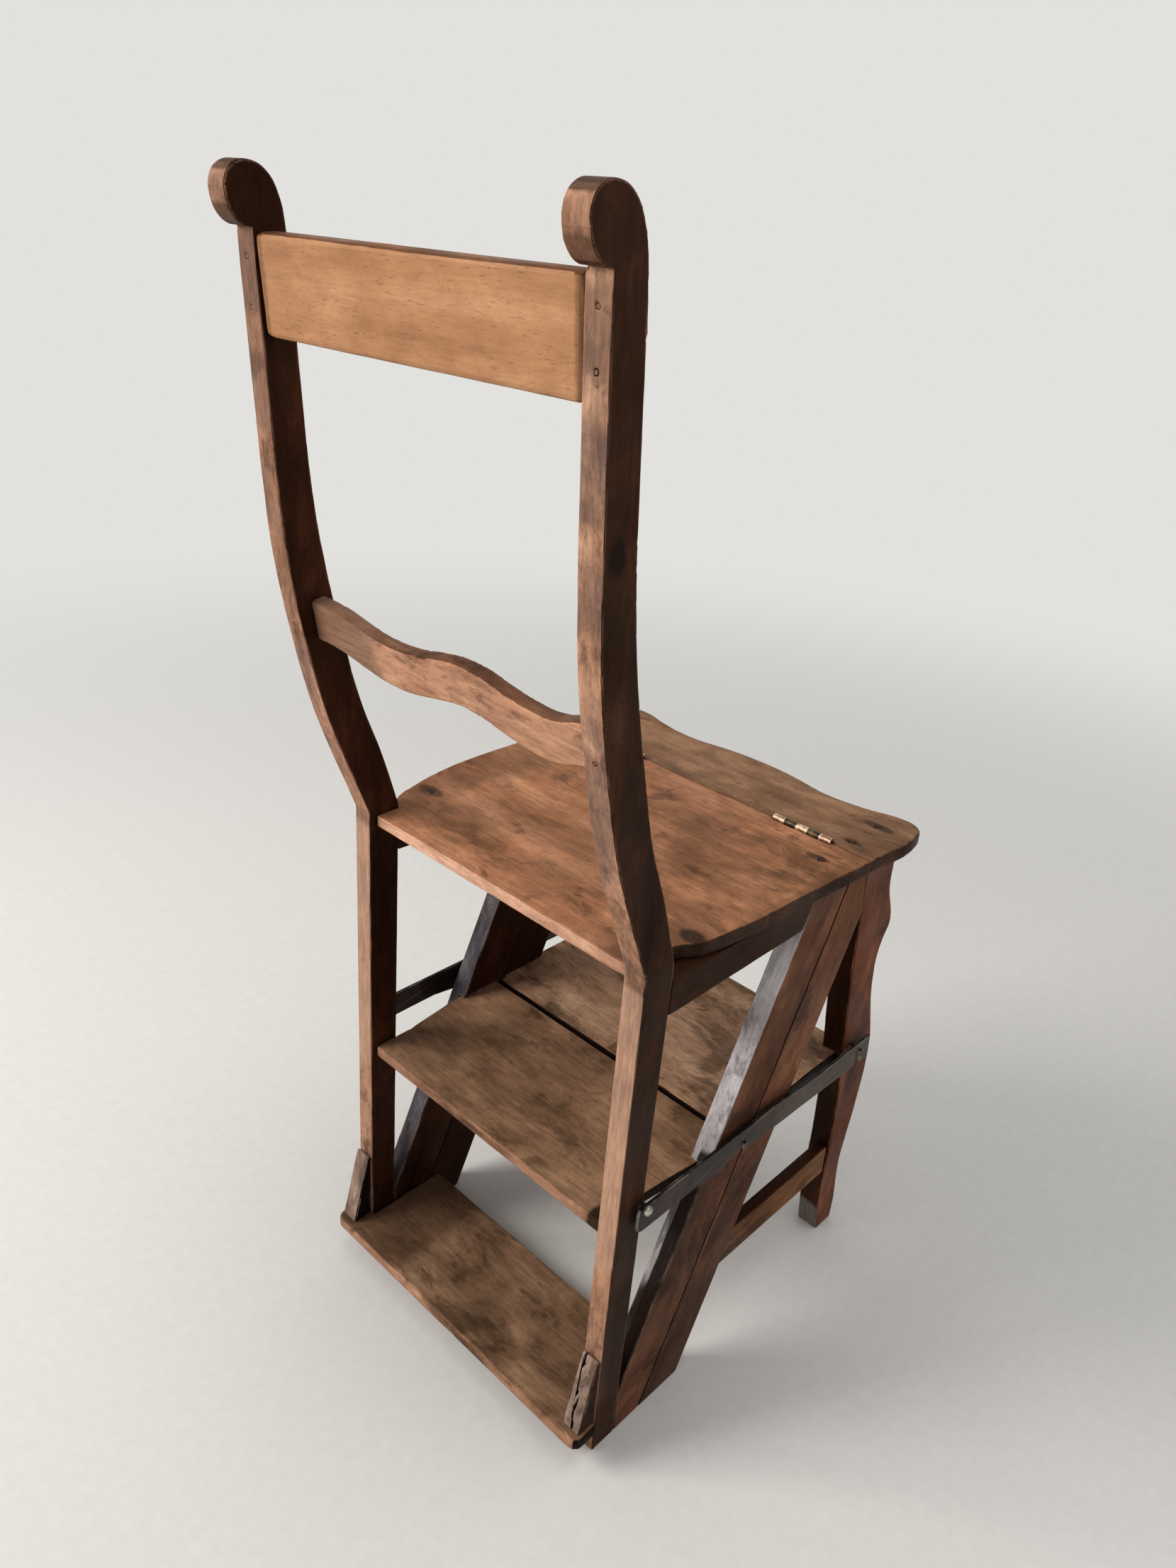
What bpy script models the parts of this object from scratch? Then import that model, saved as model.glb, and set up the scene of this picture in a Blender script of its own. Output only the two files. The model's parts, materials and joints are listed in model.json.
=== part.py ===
"""Step chair: a side chair whose seat is hinged near its front edge.

Swung over on that hinge, the rear legs, back and seat board come down in front,
and the two halves of the frame together make a four-step ladder.
Front is -Y, the sitter's right is -X and the floor is z = 0.
"""

import math

import bmesh
import bpy
from mathutils import Matrix, Vector

# Whole chair, in metres. Distances "ahead" run forward from the back of the rear
# legs at the seat, and depth_centre puts the middle of the chair's depth at y = 0.
depth_centre = 0.1347
seat_height = 0.4750
board_thickness = 0.0125
board_underside = seat_height - board_thickness
frame_half_width = 0.1610
frame_thickness = 0.0190
fit_gap = 0.0003
seam_gap = 0.0005
slide_gap = 0.0006
weld_distance = 0.00001
cut_margin = 0.0030

# Stiles: each rear leg and its back upright in one piece.
break_rise = 0.0030
break_height = seat_height + break_rise
stile_depth_at_seat = 0.0305
leg_foot_kick = 0.0085
leg_foot_front = 0.0185
back_rise = 0.4330
back_set = 0.0762
front_rise = 0.4350
front_set = 0.0825
scroll_width = 0.0418
scroll_height = 0.0375
back_curve_shares = [
    (0.105, 0.049), (0.316, 0.143), (0.500, 0.236), (0.704, 0.381), (0.842, 0.515),
    (0.901, 0.628), (0.947, 0.808), (0.987, 0.930),
]
front_curve_shares = [
    (0.200, 0.120), (0.430, 0.237), (0.600, 0.359), (0.758, 0.490), (0.862, 0.618),
    (0.939, 0.828), (0.976, 0.945),
]
scroll_shares = [
    (0.00, 0.06), (0.08, 0.48), (0.27, 0.83), (0.55, 0.98), (0.83, 0.93),
    (0.99, 0.70), (0.98, 0.38), (0.88, 0.15), (0.72, 0.02),
]
stile_edge = 0.0014

# Rails of the back.
crest_rise = 0.3700
crest_bottom = break_height + crest_rise
crest_height = 0.0615
crest_thickness = 0.0160
crest_back = 0.0715
crest_lean_deg = 4.5
crest_edge = 0.0042
crest_corner = 0.0056
mid_rail_rise = 0.1505
mid_rail_bottom = break_height + mid_rail_rise
mid_rail_height = 0.0315
mid_rail_wave = 0.0105
mid_rail_thickness = 0.0125
mid_rail_back = 0.0465
mid_rail_lean_deg = 10.0
mid_rail_edge = 0.0018
mid_wave_shares = [
    (0.80, 0.88), (0.62, 0.42), (0.42, 0.04), (0.25, 0.12), (0.05, 0.62), (-0.12, 0.98),
    (-0.26, 0.90), (-0.44, 0.42), (-0.62, 0.08), (-0.76, 0.14), (-0.89, 0.70),
]

# Seat: the board behind the hinge line and the strip ahead of it.
front_leg_reach = 0.3640
hinge_set = 0.0990
hinge_ahead = front_leg_reach - hinge_set
hinge_rise = 0.0005
hinge_height = seat_height + hinge_rise
seat_back_ahead = 0.0070
seat_overhang = 0.0145
seat_half_width = frame_half_width + seat_overhang
right_ear_set = 0.0165
left_ear_set = 0.0110
seat_front_depth = 0.0880
right_side_shares = [
    (0.828, 0.192), (0.883, 0.260), (0.912, 0.362), (0.926, 0.434), (0.936, 0.509),
    (0.943, 0.608), (0.950, 0.706), (0.960, 0.792), (0.971, 0.887),
]
left_side_shares = [
    (0.906, 0.162), (0.946, 0.243), (0.978, 0.326), (1.001, 0.428), (1.009, 0.540),
    (1.006, 0.706), (0.997, 0.850),
]
strip_side_share = 0.980
strip_corner_share = 0.992
strip_corner_ahead_share = 0.80
strip_front_shares = [
    (0.945, 0.960), (0.850, 1.000), (0.660, 0.910), (0.455, 0.865), (0.200, 0.945),
]
strip_front_middle_share = 0.970
seat_edge = 0.0026
board_undercut_height = 0.0027
board_undercut_depth = 0.0120

# The slanting stringers meet on a plane that runs down and back from the hinge.
stringer_run = 0.2150
upper_stringer_width = 0.0520
lower_stringer_width = 0.0515
stringer_edge = 0.0010
stringer_toe_height = 0.0480
stringer_head_drop = 0.0515
stringer_head_height = board_underside - stringer_head_drop

# Front legs, as outlines ahead and up, and the pieces between them.
front_leg_thickness = 0.0232
front_leg_toe_in = 0.0065
front_leg_top_depth = 0.0830
front_leg_head_depth = 0.0765
front_leg_rear_top_ahead = front_leg_reach - front_leg_top_depth
front_leg_rear_head_ahead = front_leg_reach - front_leg_head_depth
front_leg_edge = 0.0020
leg_back_shares = [
    (0.808, 0.757), (0.826, 0.649), (0.849, 0.541), (0.873, 0.432), (0.891, 0.281),
    (0.897, 0.108),
]
leg_back_foot_share = 0.918
leg_front_foot_share = 0.992
leg_front_shares = [
    (0.990, 0.065), (0.978, 0.130), (0.972, 0.184), (0.978, 0.238), (0.989, 0.303),
    (0.998, 0.378), (1.000, 0.443), (0.990, 0.519), (0.964, 0.586), (0.941, 0.647),
    (0.929, 0.701), (0.926, 0.740), (0.937, 0.780), (0.955, 0.814), (0.939, 0.858),
    (0.915, 0.901), (0.907, 0.958),
]
leg_front_top_share = 0.907
front_rail_height = 0.0320
front_rail_thickness = 0.0180
front_rail_set = 0.0600
front_rail_ahead = front_leg_reach - front_rail_set
front_rail_edge = 0.0015

# Side pieces.
side_rail_height = 0.0292
side_rail_edge = 0.0010
stretcher_bottom = 0.0850
stretcher_height = 0.0345
stretcher_thickness = 0.0120
stretcher_set = 0.0130
stretcher_half_span = frame_half_width - stretcher_set
stretcher_edge = 0.0015

# Treads.
tread_housing = 0.0075
tread_drop = 0.2360
tread_height = seat_height - tread_drop
rear_tread_thickness = 0.0110
rear_tread_bottom = tread_height - rear_tread_thickness
rear_tread_back = 0.0010
rear_tread_front_set = 0.1150
rear_tread_front = hinge_ahead - rear_tread_front_set
rear_tread_neck_depth = 0.0680
rear_tread_shoulder_depth = 0.0420
front_tread_rise = 0.0017
front_tread_thickness = 0.0128
front_tread_bottom = tread_height + front_tread_rise - front_tread_thickness
front_tread_back_depth = 0.0030
front_tread_back = rear_tread_front + front_tread_back_depth
front_tread_shoulder_depth = 0.0066
front_tread_shoulder = front_tread_back + front_tread_shoulder_depth
front_tread_set = 0.0330
front_tread_front = front_leg_reach - front_tread_set
tread_edge = 0.0015
bottom_tread_base = 0.0247
bottom_tread_thickness = 0.0125
bottom_tread_front = 0.0750
bottom_tread_lip = 0.0345
bottom_tread_lip_overhang = 0.0035
bottom_tread_lip_half_width = frame_half_width + bottom_tread_lip_overhang
bottom_tread_lip_corner = 0.0055
bottom_tread_edge = 0.0028
block_height = 0.0715
block_base_depth = 0.0205
block_top_depth = 0.0038
block_thickness = 0.0185
block_edge = 0.0016
block_crack_width = 0.0011
block_crack_depth = 0.0045
block_crack_shares = [
    [(0.27, 1.03), (0.22, 0.84), (0.27, 0.65), (0.34, 0.50), (0.29, 0.38)],
    [(0.62, -0.03), (0.51, 0.10), (0.40, 0.22), (0.44, 0.32), (0.51, 0.44)],
]

# Hinges: five-knuckle butts let into the two meeting edges of the seat.
hinge_reach_share = 0.4274
hinge_inner_reach = seat_half_width * hinge_reach_share
barrel_length = 0.0580
barrel_radius = 0.0035
knuckle_gap = 0.0003
knuckle_count = 5
pin_radius = 0.0012
pin_hole_radius = 0.0013
leaf_thickness = 0.0012
leaf_depth = 0.0105
leaf_offset = 0.0002
leaf_pocket_depth = 0.0018
leaf_pocket_clearance = 0.0005
barrel_clearance = 0.0004

# Iron hook bars on the outer faces, with their screws, washers and pins.
bar_standoff = 0.0035
bar_thickness = 0.0030
bar_front_set = 0.0235
bar_front_cut = 0.0020
bar_rear_ahead = 0.0128
bar_front_ahead = front_leg_reach - bar_front_set
bar_drop = 0.2350
bar_bottom_height = seat_height - bar_drop
bar_rear_depth = 0.0242
bar_bend_depth = 0.0224
bar_dip_depth = 0.0175
bar_front_depth = 0.0180
bar_bend_set = 0.1690
bar_bend_ahead = front_leg_reach - bar_bend_set
bar_dip_set = 0.1050
bar_dip_ahead = front_leg_reach - bar_dip_set
bar_lip_drop = 0.0048
bar_lip_length = 0.0320
bar_step_length = 0.0025
bar_step_rise = 0.0007
bar_step_ahead = 0.1190
bar_middle_drop = 0.0016
bar_front_drop = 0.0082
bar_edge = 0.0004
pivot_ahead = 0.0214
pivot_rise = 0.0202
pivot_height = bar_bottom_height + pivot_rise
pivot_shank_radius = 0.0022
pivot_hole_radius = 0.0023
pivot_head_radius = 0.0042
pivot_head_height = 0.0042
pivot_depth = 0.0120
screw_seat_gap = 0.0003
washer_radius = 0.0040
hook_notch_set = 0.0418
hook_notch_ahead = front_leg_reach - hook_notch_set
hook_notch_half_width = 0.0052
hook_notch_depth = 0.0180
rest_notch_set = 0.1193
rest_notch_ahead = hinge_ahead - rest_notch_set
rest_notch_half_width = 0.0062
rest_notch_depth = 0.0116
catch_pin_radius = 0.0034
catch_pin_drop = 0.0042
catch_pin_stand = 0.0022
catch_pin_depth = 0.0080

# Nails, their heads let in flush.
nail_radius = 0.0030
nail_depth = 0.0040
nail_clearance = 0.0003
board_nail_shares = {"front": (0.809, 0.891), "rear": (0.843, 0.264)}
strip_nail_shares = {"rear": (0.815, 0.182), "front": (0.815, 0.636)}
mid_rail_nail_share = 0.38
crest_nail_low_share = 0.27
crest_nail_high_share = 0.75
stile_nail_radius = 0.0013

# Counts, which have no size.
curve_steps = 6
bevel_steps = 2
round_steps = 24
dissolve_angle = math.radians(1.0)
sharp_angle = math.radians(35.0)

# Local x and y of an outline, and its thickness, laid along the chair's axes.
side_view = Matrix(((0, 0, 1), (1, 0, 0), (0, 1, 0))).to_4x4()
back_view = Matrix(((1, 0, 0), (0, 0, -1), (0, 1, 0))).to_4x4()
plan_view = Matrix.Identity(4)
along_x = Matrix.Rotation(math.radians(90.0), 4, "Y")
along_y = Matrix.Rotation(math.radians(-90.0), 4, "X")

board_nails = {
    spot: (seat_half_width * width_share, hinge_ahead * ahead_share)
    for spot, (width_share, ahead_share) in board_nail_shares.items()
}
strip_nails = {
    spot: (seat_half_width * width_share, hinge_ahead + seat_front_depth * depth_share)
    for spot, (width_share, depth_share) in strip_nail_shares.items()
}
stile_nails = {
    "low": mid_rail_bottom + mid_rail_wave + mid_rail_height * mid_rail_nail_share,
    "middle": crest_bottom + crest_height * crest_nail_low_share,
    "top": crest_bottom + crest_height * crest_nail_high_share,
}


def clear_scene():
    """Start from an empty scene."""
    for obj in list(bpy.data.objects):
        bpy.data.objects.remove(obj, do_unlink=True)


def new_collection(name):
    """Make a collection in the scene."""
    group = bpy.data.collections.new(name)
    bpy.context.scene.collection.children.link(group)
    return group


def new_material(name, colour, roughness, metallic):
    """Make a plain Principled material."""
    made = bpy.data.materials.new(name)
    made.use_nodes = True
    shader = made.node_tree.nodes["Principled BSDF"]
    shader.inputs["Base Color"].default_value = (*colour, 1.0)
    shader.inputs["Roughness"].default_value = roughness
    shader.inputs["Metallic"].default_value = metallic
    made.diffuse_color = (*colour, 1.0)
    return made


def y_at(ahead):
    """World y of a distance ahead of the rear legs' back."""
    return depth_centre - ahead


def corner(u, v):
    """An outline point where two straight or curved runs meet at an angle."""
    return (u, v, "VECTOR")


def smooth(u, v):
    """An outline point on a curve."""
    return (u, v, "AUTO")


def rounded_corner(u, v, u_way, v_way, radius):
    """Outline points that turn a square corner on a radius, from its u side to its v side."""
    near = radius * (1 - math.sqrt(1 / 2))
    return [
        corner(u + u_way * radius, v), smooth(u + u_way * near, v + v_way * near),
        corner(u, v + v_way * radius),
    ]


def outline_mesh(name, outline, thickness, view):
    """Closed slab from an outline, with its thickness centred on the outline's plane."""
    curve = bpy.data.curves.new(name, "CURVE")
    curve.dimensions = "2D"
    curve.fill_mode = "BOTH"
    curve.extrude = thickness / 2
    curve.resolution_u = curve_steps
    spline = curve.splines.new("BEZIER")
    spline.bezier_points.add(len(outline) - 1)
    for point, (u, v, kind) in zip(spline.bezier_points, outline):
        point.co = (u, v, 0)
        point.handle_left_type = kind
        point.handle_right_type = kind
    spline.use_cyclic_u = True
    holder = bpy.data.objects.new(name, curve)
    bpy.context.scene.collection.objects.link(holder)
    depsgraph = bpy.context.evaluated_depsgraph_get()
    mesh = bpy.data.meshes.new_from_object(holder.evaluated_get(depsgraph))
    bpy.data.objects.remove(holder)
    bpy.data.curves.remove(curve)
    shape = bmesh.new()
    shape.from_mesh(mesh)
    bmesh.ops.remove_doubles(shape, verts=shape.verts, dist=weld_distance)
    bmesh.ops.dissolve_limit(shape, angle_limit=dissolve_angle, verts=shape.verts, edges=shape.edges)
    bmesh.ops.transform(shape, matrix=view, verts=shape.verts)
    bmesh.ops.recalc_face_normals(shape, faces=shape.faces)
    shape.to_mesh(mesh)
    shape.free()
    return mesh


def box_mesh(name, low, high):
    """Box between two opposite corners, given in either order."""
    pairs = [sorted(pair) for pair in zip(low, high)]
    low = Vector([pair[0] for pair in pairs])
    high = Vector([pair[1] for pair in pairs])
    shape = bmesh.new()
    bmesh.ops.create_cube(shape, size=1.0)
    bmesh.ops.scale(shape, vec=high - low, verts=shape.verts)
    bmesh.ops.translate(shape, vec=(low + high) / 2, verts=shape.verts)
    mesh = bpy.data.meshes.new(name)
    shape.to_mesh(mesh)
    shape.free()
    return mesh


def rods_mesh(name, rods, turn):
    """Round rods in one mesh, each given as centre, radius and length."""
    shape = bmesh.new()
    for centre, radius, length in rods:
        place = Matrix.Translation(centre) @ turn
        bmesh.ops.create_cone(
            shape, cap_ends=True, segments=round_steps, radius1=radius, radius2=radius,
            depth=length, matrix=place,
        )
    mesh = bpy.data.meshes.new(name)
    shape.to_mesh(mesh)
    shape.free()
    return mesh


def add_piece(name, mesh, material, group, origin=(0.0, 0.0, 0.0)):
    """Link a mesh as a named piece, with its origin where it is wanted."""
    mesh.transform(Matrix.Translation(-Vector(origin)))
    mesh.materials.clear()
    mesh.materials.append(material)
    mesh.shade_smooth()
    mesh.set_sharp_from_angle(angle=sharp_angle)
    obj = bpy.data.objects.new(name, mesh)
    obj.location = origin
    group.objects.link(obj)
    return obj


def round_edges(obj, width, crisp_ahead=None):
    """Bevel the arrises, leaving those on one crosswise line crisp."""
    modifier = obj.modifiers.new("worn arrises", "BEVEL")
    modifier.width = width
    modifier.segments = bevel_steps
    modifier.limit_method = "ANGLE"
    modifier.angle_limit = sharp_angle
    if crisp_ahead is None:
        return
    modifier.limit_method = "WEIGHT"
    mesh = obj.data
    weights = mesh.attributes.new("bevel_weight_edge", "FLOAT", "EDGE")
    sharp = mesh.attributes["sharp_edge"]
    for edge in mesh.edges:
        ends = [mesh.vertices[index].co.y + obj.location.y for index in edge.vertices]
        on_line = all(abs(end - y_at(crisp_ahead)) < slide_gap for end in ends)
        weights.data[edge.index].value = float(sharp.data[edge.index].value and not on_line)


def add_cut(obj, cutter, operation="DIFFERENCE"):
    """Cut a piece with another mesh, or join one to it."""
    modifier = obj.modifiers.new(cutter.name, "BOOLEAN")
    modifier.operation = operation
    modifier.solver = "EXACT"
    modifier.object = cutter


def add_cutter(name, mesh, group):
    """Keep a cutting mesh out of the finished part."""
    obj = bpy.data.objects.new(name, mesh)
    obj.hide_render = True
    obj.display_type = "WIRE"
    group.objects.link(obj)
    return obj


def turned_piece(name, profile, direction, material, group, origin):
    """Solid of revolution, its profile given as radius and distance along the axis."""
    mesh = bpy.data.meshes.new(name)
    points = [(radius, 0.0, along) for radius, along in profile]
    links = [(index, index + 1) for index in range(len(profile) - 1)]
    mesh.from_pydata(points, links, [])
    mesh.materials.append(material)
    obj = bpy.data.objects.new(name, mesh)
    obj.location = origin
    obj.rotation_euler = Vector(direction).to_track_quat("Z", "Y").to_euler()
    group.objects.link(obj)
    modifier = obj.modifiers.new("turning", "SCREW")
    modifier.axis = "Z"
    modifier.angle = math.tau
    modifier.steps = round_steps
    modifier.render_steps = round_steps
    modifier.use_merge_vertices = True
    modifier.merge_threshold = weld_distance
    modifier.use_smooth_shade = True
    modifier.use_normal_flip = True
    return obj


def gap_ahead(height):
    """How far ahead the plane between the two stringers is at a height."""
    return hinge_ahead - stringer_run * (seat_height - height) / seat_height


def rear_leg_back(height):
    """How far ahead the straight rear leg's back face is at a height."""
    return -leg_foot_kick * (break_height - height) / break_height


def rear_leg_front(height):
    """How far ahead the straight rear leg's front face is at a height."""
    share = (break_height - height) / break_height
    return stile_depth_at_seat + (leg_foot_front - stile_depth_at_seat) * share


def front_leg_rear(height):
    """How far ahead the front leg's rear face is, near the floor and near the seat."""
    if height > stringer_head_height / 2:
        share = (board_underside - height) / (board_underside - stringer_head_height)
        top = front_leg_rear_top_ahead
        return top + (front_leg_rear_head_ahead - top) * share
    (knee_share, knee_rise_share), (ankle_share, ankle_rise_share) = leg_back_shares[-2:]
    share = (height / board_underside - ankle_rise_share) / (knee_rise_share - ankle_rise_share)
    return front_leg_reach * (ankle_share + (knee_share - ankle_share) * share)


def side_outline(points):
    """Turn points given as ahead, up and kind into a side view outline."""
    return [(y_at(ahead), up, kind) for ahead, up, kind in points]


def mirrored(points):
    """Close a plan outline whose points are given for one side only."""
    other = [(-u, v, kind) for u, v, kind in reversed(points) if u > 0]
    return points + other


def shifted(mesh, offset):
    """Move a mesh bodily."""
    mesh.transform(Matrix.Translation(offset))
    return mesh


def stile_outline():
    """Rear leg and back upright, from the foot up the back and down the front."""
    points = [corner(-leg_foot_kick, 0.0), corner(0.0, break_height)]
    for set_share, rise_share in back_curve_shares:
        points.append(smooth(-back_set * set_share, break_height + back_rise * rise_share))
    neck_height = break_height + back_rise
    points.append(corner(-back_set, neck_height))
    throat = front_set - stile_depth_at_seat
    for width_share, height_share in reversed(scroll_shares):
        rise = scroll_height * height_share
        points.append(smooth(-throat - scroll_width * width_share, neck_height + rise))
    for set_share, rise_share in reversed(front_curve_shares):
        ahead = stile_depth_at_seat - front_set * set_share
        points.append(smooth(ahead, break_height + front_rise * rise_share))
    points.append(corner(stile_depth_at_seat, break_height))
    points.append(corner(leg_foot_front, 0.0))
    return side_outline(points)


def front_leg_outline():
    """Sabre front leg, from the foot up its rear face and down its front."""
    points = [corner(front_leg_reach * leg_back_foot_share, 0.0)]
    for reach_share, rise_share in reversed(leg_back_shares):
        points.append(smooth(front_leg_reach * reach_share, board_underside * rise_share))
    points.append(corner(front_leg_rear_head_ahead, stringer_head_height))
    points.append(corner(front_leg_rear_top_ahead, board_underside - fit_gap))
    points.append(corner(front_leg_reach * leg_front_top_share, board_underside - fit_gap))
    for reach_share, rise_share in reversed(leg_front_shares):
        points.append(smooth(front_leg_reach * reach_share, board_underside * rise_share))
    points.append(corner(front_leg_reach * leg_front_foot_share, 0.0))
    return side_outline(points)


def make_stile(side, name, group, cutters, materials):
    """Rear leg and back upright, bored for its screw and nails."""
    centre = side * (frame_half_width - frame_thickness / 2)
    mesh = outline_mesh(name, stile_outline(), frame_thickness, side_view)
    stile = add_piece(name, shifted(mesh, (centre, 0.0, 0.0)), materials["light wood"], group)
    round_edges(stile, stile_edge)
    bore_centre = (side * (frame_half_width - pivot_depth / 2), y_at(pivot_ahead), pivot_height)
    bore = [(bore_centre, pivot_shank_radius + screw_seat_gap, pivot_depth + cut_margin)]
    add_cut(stile, add_cutter(name + "_bore", rods_mesh(name + "_bore", bore, along_x), cutters))
    nails = [stile_nail_rod(side, height, nail_clearance) for height in stile_nails.values()]
    holes = rods_mesh(name + "_nail_holes", nails, along_y)
    add_cut(stile, add_cutter(name + "_nail_holes", holes, cutters))
    return stile


def stile_back_y(height):
    """World y of the back of the stile, read off the outline between its points."""
    shares = [(0.0, 0.0)] + back_curve_shares + [(1.0, 1.0)]
    rise_share = (height - break_height) / back_rise
    for (set_low, rise_low), (set_high, rise_high) in zip(shares, shares[1:]):
        if rise_low <= rise_share <= rise_high:
            part = (rise_share - rise_low) / (rise_high - rise_low)
            return y_at(-back_set * (set_low + (set_high - set_low) * part))
    return y_at(-back_set)


def stile_nail_rod(side, height, clearance):
    """Nail driven through the back of a stile into the end of one of the back's rails."""
    centre = side * (frame_half_width - frame_thickness / 2)
    middle = (centre, stile_back_y(height) - nail_depth / 2 - fit_gap, height)
    return (middle, stile_nail_radius + clearance, nail_depth + clearance * 4)


def make_back(group, materials):
    """Crest rail and the serpentine middle rail."""
    half = frame_half_width - frame_thickness - fit_gap
    crest_outline = (
        rounded_corner(half, 0.0, -1, 1, crest_corner)
        + rounded_corner(half, crest_height, -1, -1, crest_corner)[::-1]
        + rounded_corner(-half, crest_height, 1, -1, crest_corner)
        + rounded_corner(-half, 0.0, 1, 1, crest_corner)[::-1]
    )
    mesh = outline_mesh("crest_rail", crest_outline, crest_thickness, back_view)
    mesh.transform(Matrix.Rotation(-math.radians(crest_lean_deg), 4, "X"))
    place = (0.0, y_at(-crest_back) - crest_thickness / 2, crest_bottom)
    crest = add_piece("crest_rail", shifted(mesh, place), materials["brown wood"], group)
    round_edges(crest, crest_edge)
    waves = [(1.0, 1.0)] + mid_wave_shares + [(-1.0, 1.0)]
    under = []
    over = []
    for half_share, wave_share in waves:
        make_point = corner if abs(half_share) == 1.0 else smooth
        under.append(make_point(half * half_share, mid_rail_wave * wave_share))
        over.append(make_point(half * half_share, mid_rail_height + mid_rail_wave * wave_share))
    mesh = outline_mesh("mid_rail", over + list(reversed(under)), mid_rail_thickness, back_view)
    mesh.transform(Matrix.Rotation(-math.radians(mid_rail_lean_deg), 4, "X"))
    place = (0.0, y_at(-mid_rail_back) - mid_rail_thickness, mid_rail_bottom)
    rail = add_piece("mid_rail", shifted(mesh, place), materials["light wood"], group)
    round_edges(rail, mid_rail_edge)
    return [crest, rail]


def hinge_pockets(name, way, cutters):
    """Room for the barrels and one leaf of each hinge, cut in a seat edge."""
    middle = hinge_inner_reach + barrel_length / 2
    length = barrel_length + leaf_pocket_clearance * 2
    barrels = []
    for side in (-1, 1):
        centre = (side * middle, y_at(hinge_ahead), hinge_height)
        barrels.append((centre, barrel_radius + barrel_clearance, length))
    made = [add_cutter(name + "_barrels", rods_mesh(name + "_barrels", barrels, along_x), cutters)]
    for side, word in ((-1, "right"), (1, "left")):
        ends = sorted((y_at(hinge_ahead) - way * slide_gap, y_at(hinge_ahead) + way * leaf_pocket_depth))
        low = (side * middle - length / 2, ends[0], hinge_height - leaf_depth - leaf_pocket_clearance)
        high = (side * middle + length / 2, ends[1], hinge_height + cut_margin)
        label = name + "_" + word + "_leaf"
        made.append(add_cutter(label, box_mesh(label, low, high), cutters))
    return made


def seat_nail_rod(side, place, clearance):
    """Nail set upright in the seat, flush with its top."""
    reach, ahead = place
    middle = (side * reach, y_at(ahead), seat_height - nail_depth / 2)
    return (middle, nail_radius + clearance, nail_depth + clearance * 2)


def seat_nail_holes(name, places, cutters):
    """Holes for the nails on both sides of one seat piece."""
    rods = [seat_nail_rod(side, place, nail_clearance) for place in places.values() for side in (-1, 1)]
    return add_cutter(name, rods_mesh(name, rods, plan_view), cutters)


def make_seat(group, cutters, materials):
    """Seat board with its ears round the stiles, and the strip ahead of the hinges."""
    inner = frame_half_width - frame_thickness - fit_gap
    shoulder = rear_leg_front(seat_height) + fit_gap
    board_points = []
    for side, ear_set, side_shares in (
        (1, left_ear_set, left_side_shares), (-1, right_ear_set, right_side_shares),
    ):
        points = [
            corner(side * inner, y_at(seat_back_ahead)), corner(side * inner, y_at(shoulder)),
            corner(side * (frame_half_width - ear_set), y_at(shoulder)),
        ]
        for width_share, ahead_share in side_shares:
            reach = seat_half_width * width_share
            points.append(smooth(side * reach, y_at(hinge_ahead * ahead_share)))
        points.append(corner(side * seat_half_width * strip_side_share, y_at(hinge_ahead - fit_gap)))
        board_points += points[::side]
    centre = (0.0, 0.0, seat_height - board_thickness / 2)
    mesh = outline_mesh("seat_board", board_points, board_thickness, plan_view)
    board = add_piece("seat_board", shifted(mesh, centre), materials["seat wood"], group)
    round_edges(board, seat_edge, crisp_ahead=hinge_ahead)
    slope = board_undercut_height / board_undercut_depth
    behind = seat_back_ahead - cut_margin
    wedge_points = [
        corner(behind, board_underside + board_undercut_height + cut_margin * slope),
        corner(seat_back_ahead + board_undercut_depth + cut_margin, board_underside - cut_margin * slope),
        corner(behind, board_underside - cut_margin * slope),
    ]
    wedge = outline_mesh("board_undercut", side_outline(wedge_points), (inner + cut_margin) * 2, side_view)
    add_cut(board, add_cutter("board_undercut", wedge, cutters))
    for cutter in hinge_pockets("board_pocket", 1, cutters):
        add_cut(board, cutter)
    add_cut(board, seat_nail_holes("board_nail_holes", board_nails, cutters))

    strip_points = [
        corner(seat_half_width * strip_side_share, y_at(hinge_ahead + fit_gap)),
        smooth(
            seat_half_width * strip_corner_share,
            y_at(hinge_ahead + seat_front_depth * strip_corner_ahead_share),
        ),
    ]
    for width_share, depth_share in strip_front_shares:
        ahead = hinge_ahead + seat_front_depth * depth_share
        strip_points.append(smooth(seat_half_width * width_share, y_at(ahead)))
    middle_ahead = hinge_ahead + seat_front_depth * strip_front_middle_share
    strip_points.append(smooth(0.0, y_at(middle_ahead)))
    mesh = outline_mesh("seat_front_strip", mirrored(strip_points), board_thickness, plan_view)
    strip = add_piece("seat_front_strip", shifted(mesh, centre), materials["seat wood"], group)
    round_edges(strip, seat_edge, crisp_ahead=hinge_ahead)
    for cutter in hinge_pockets("strip_pocket", -1, cutters):
        add_cut(strip, cutter)
    add_cut(strip, seat_nail_holes("strip_nail_holes", strip_nails, cutters))
    return board, strip


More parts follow.
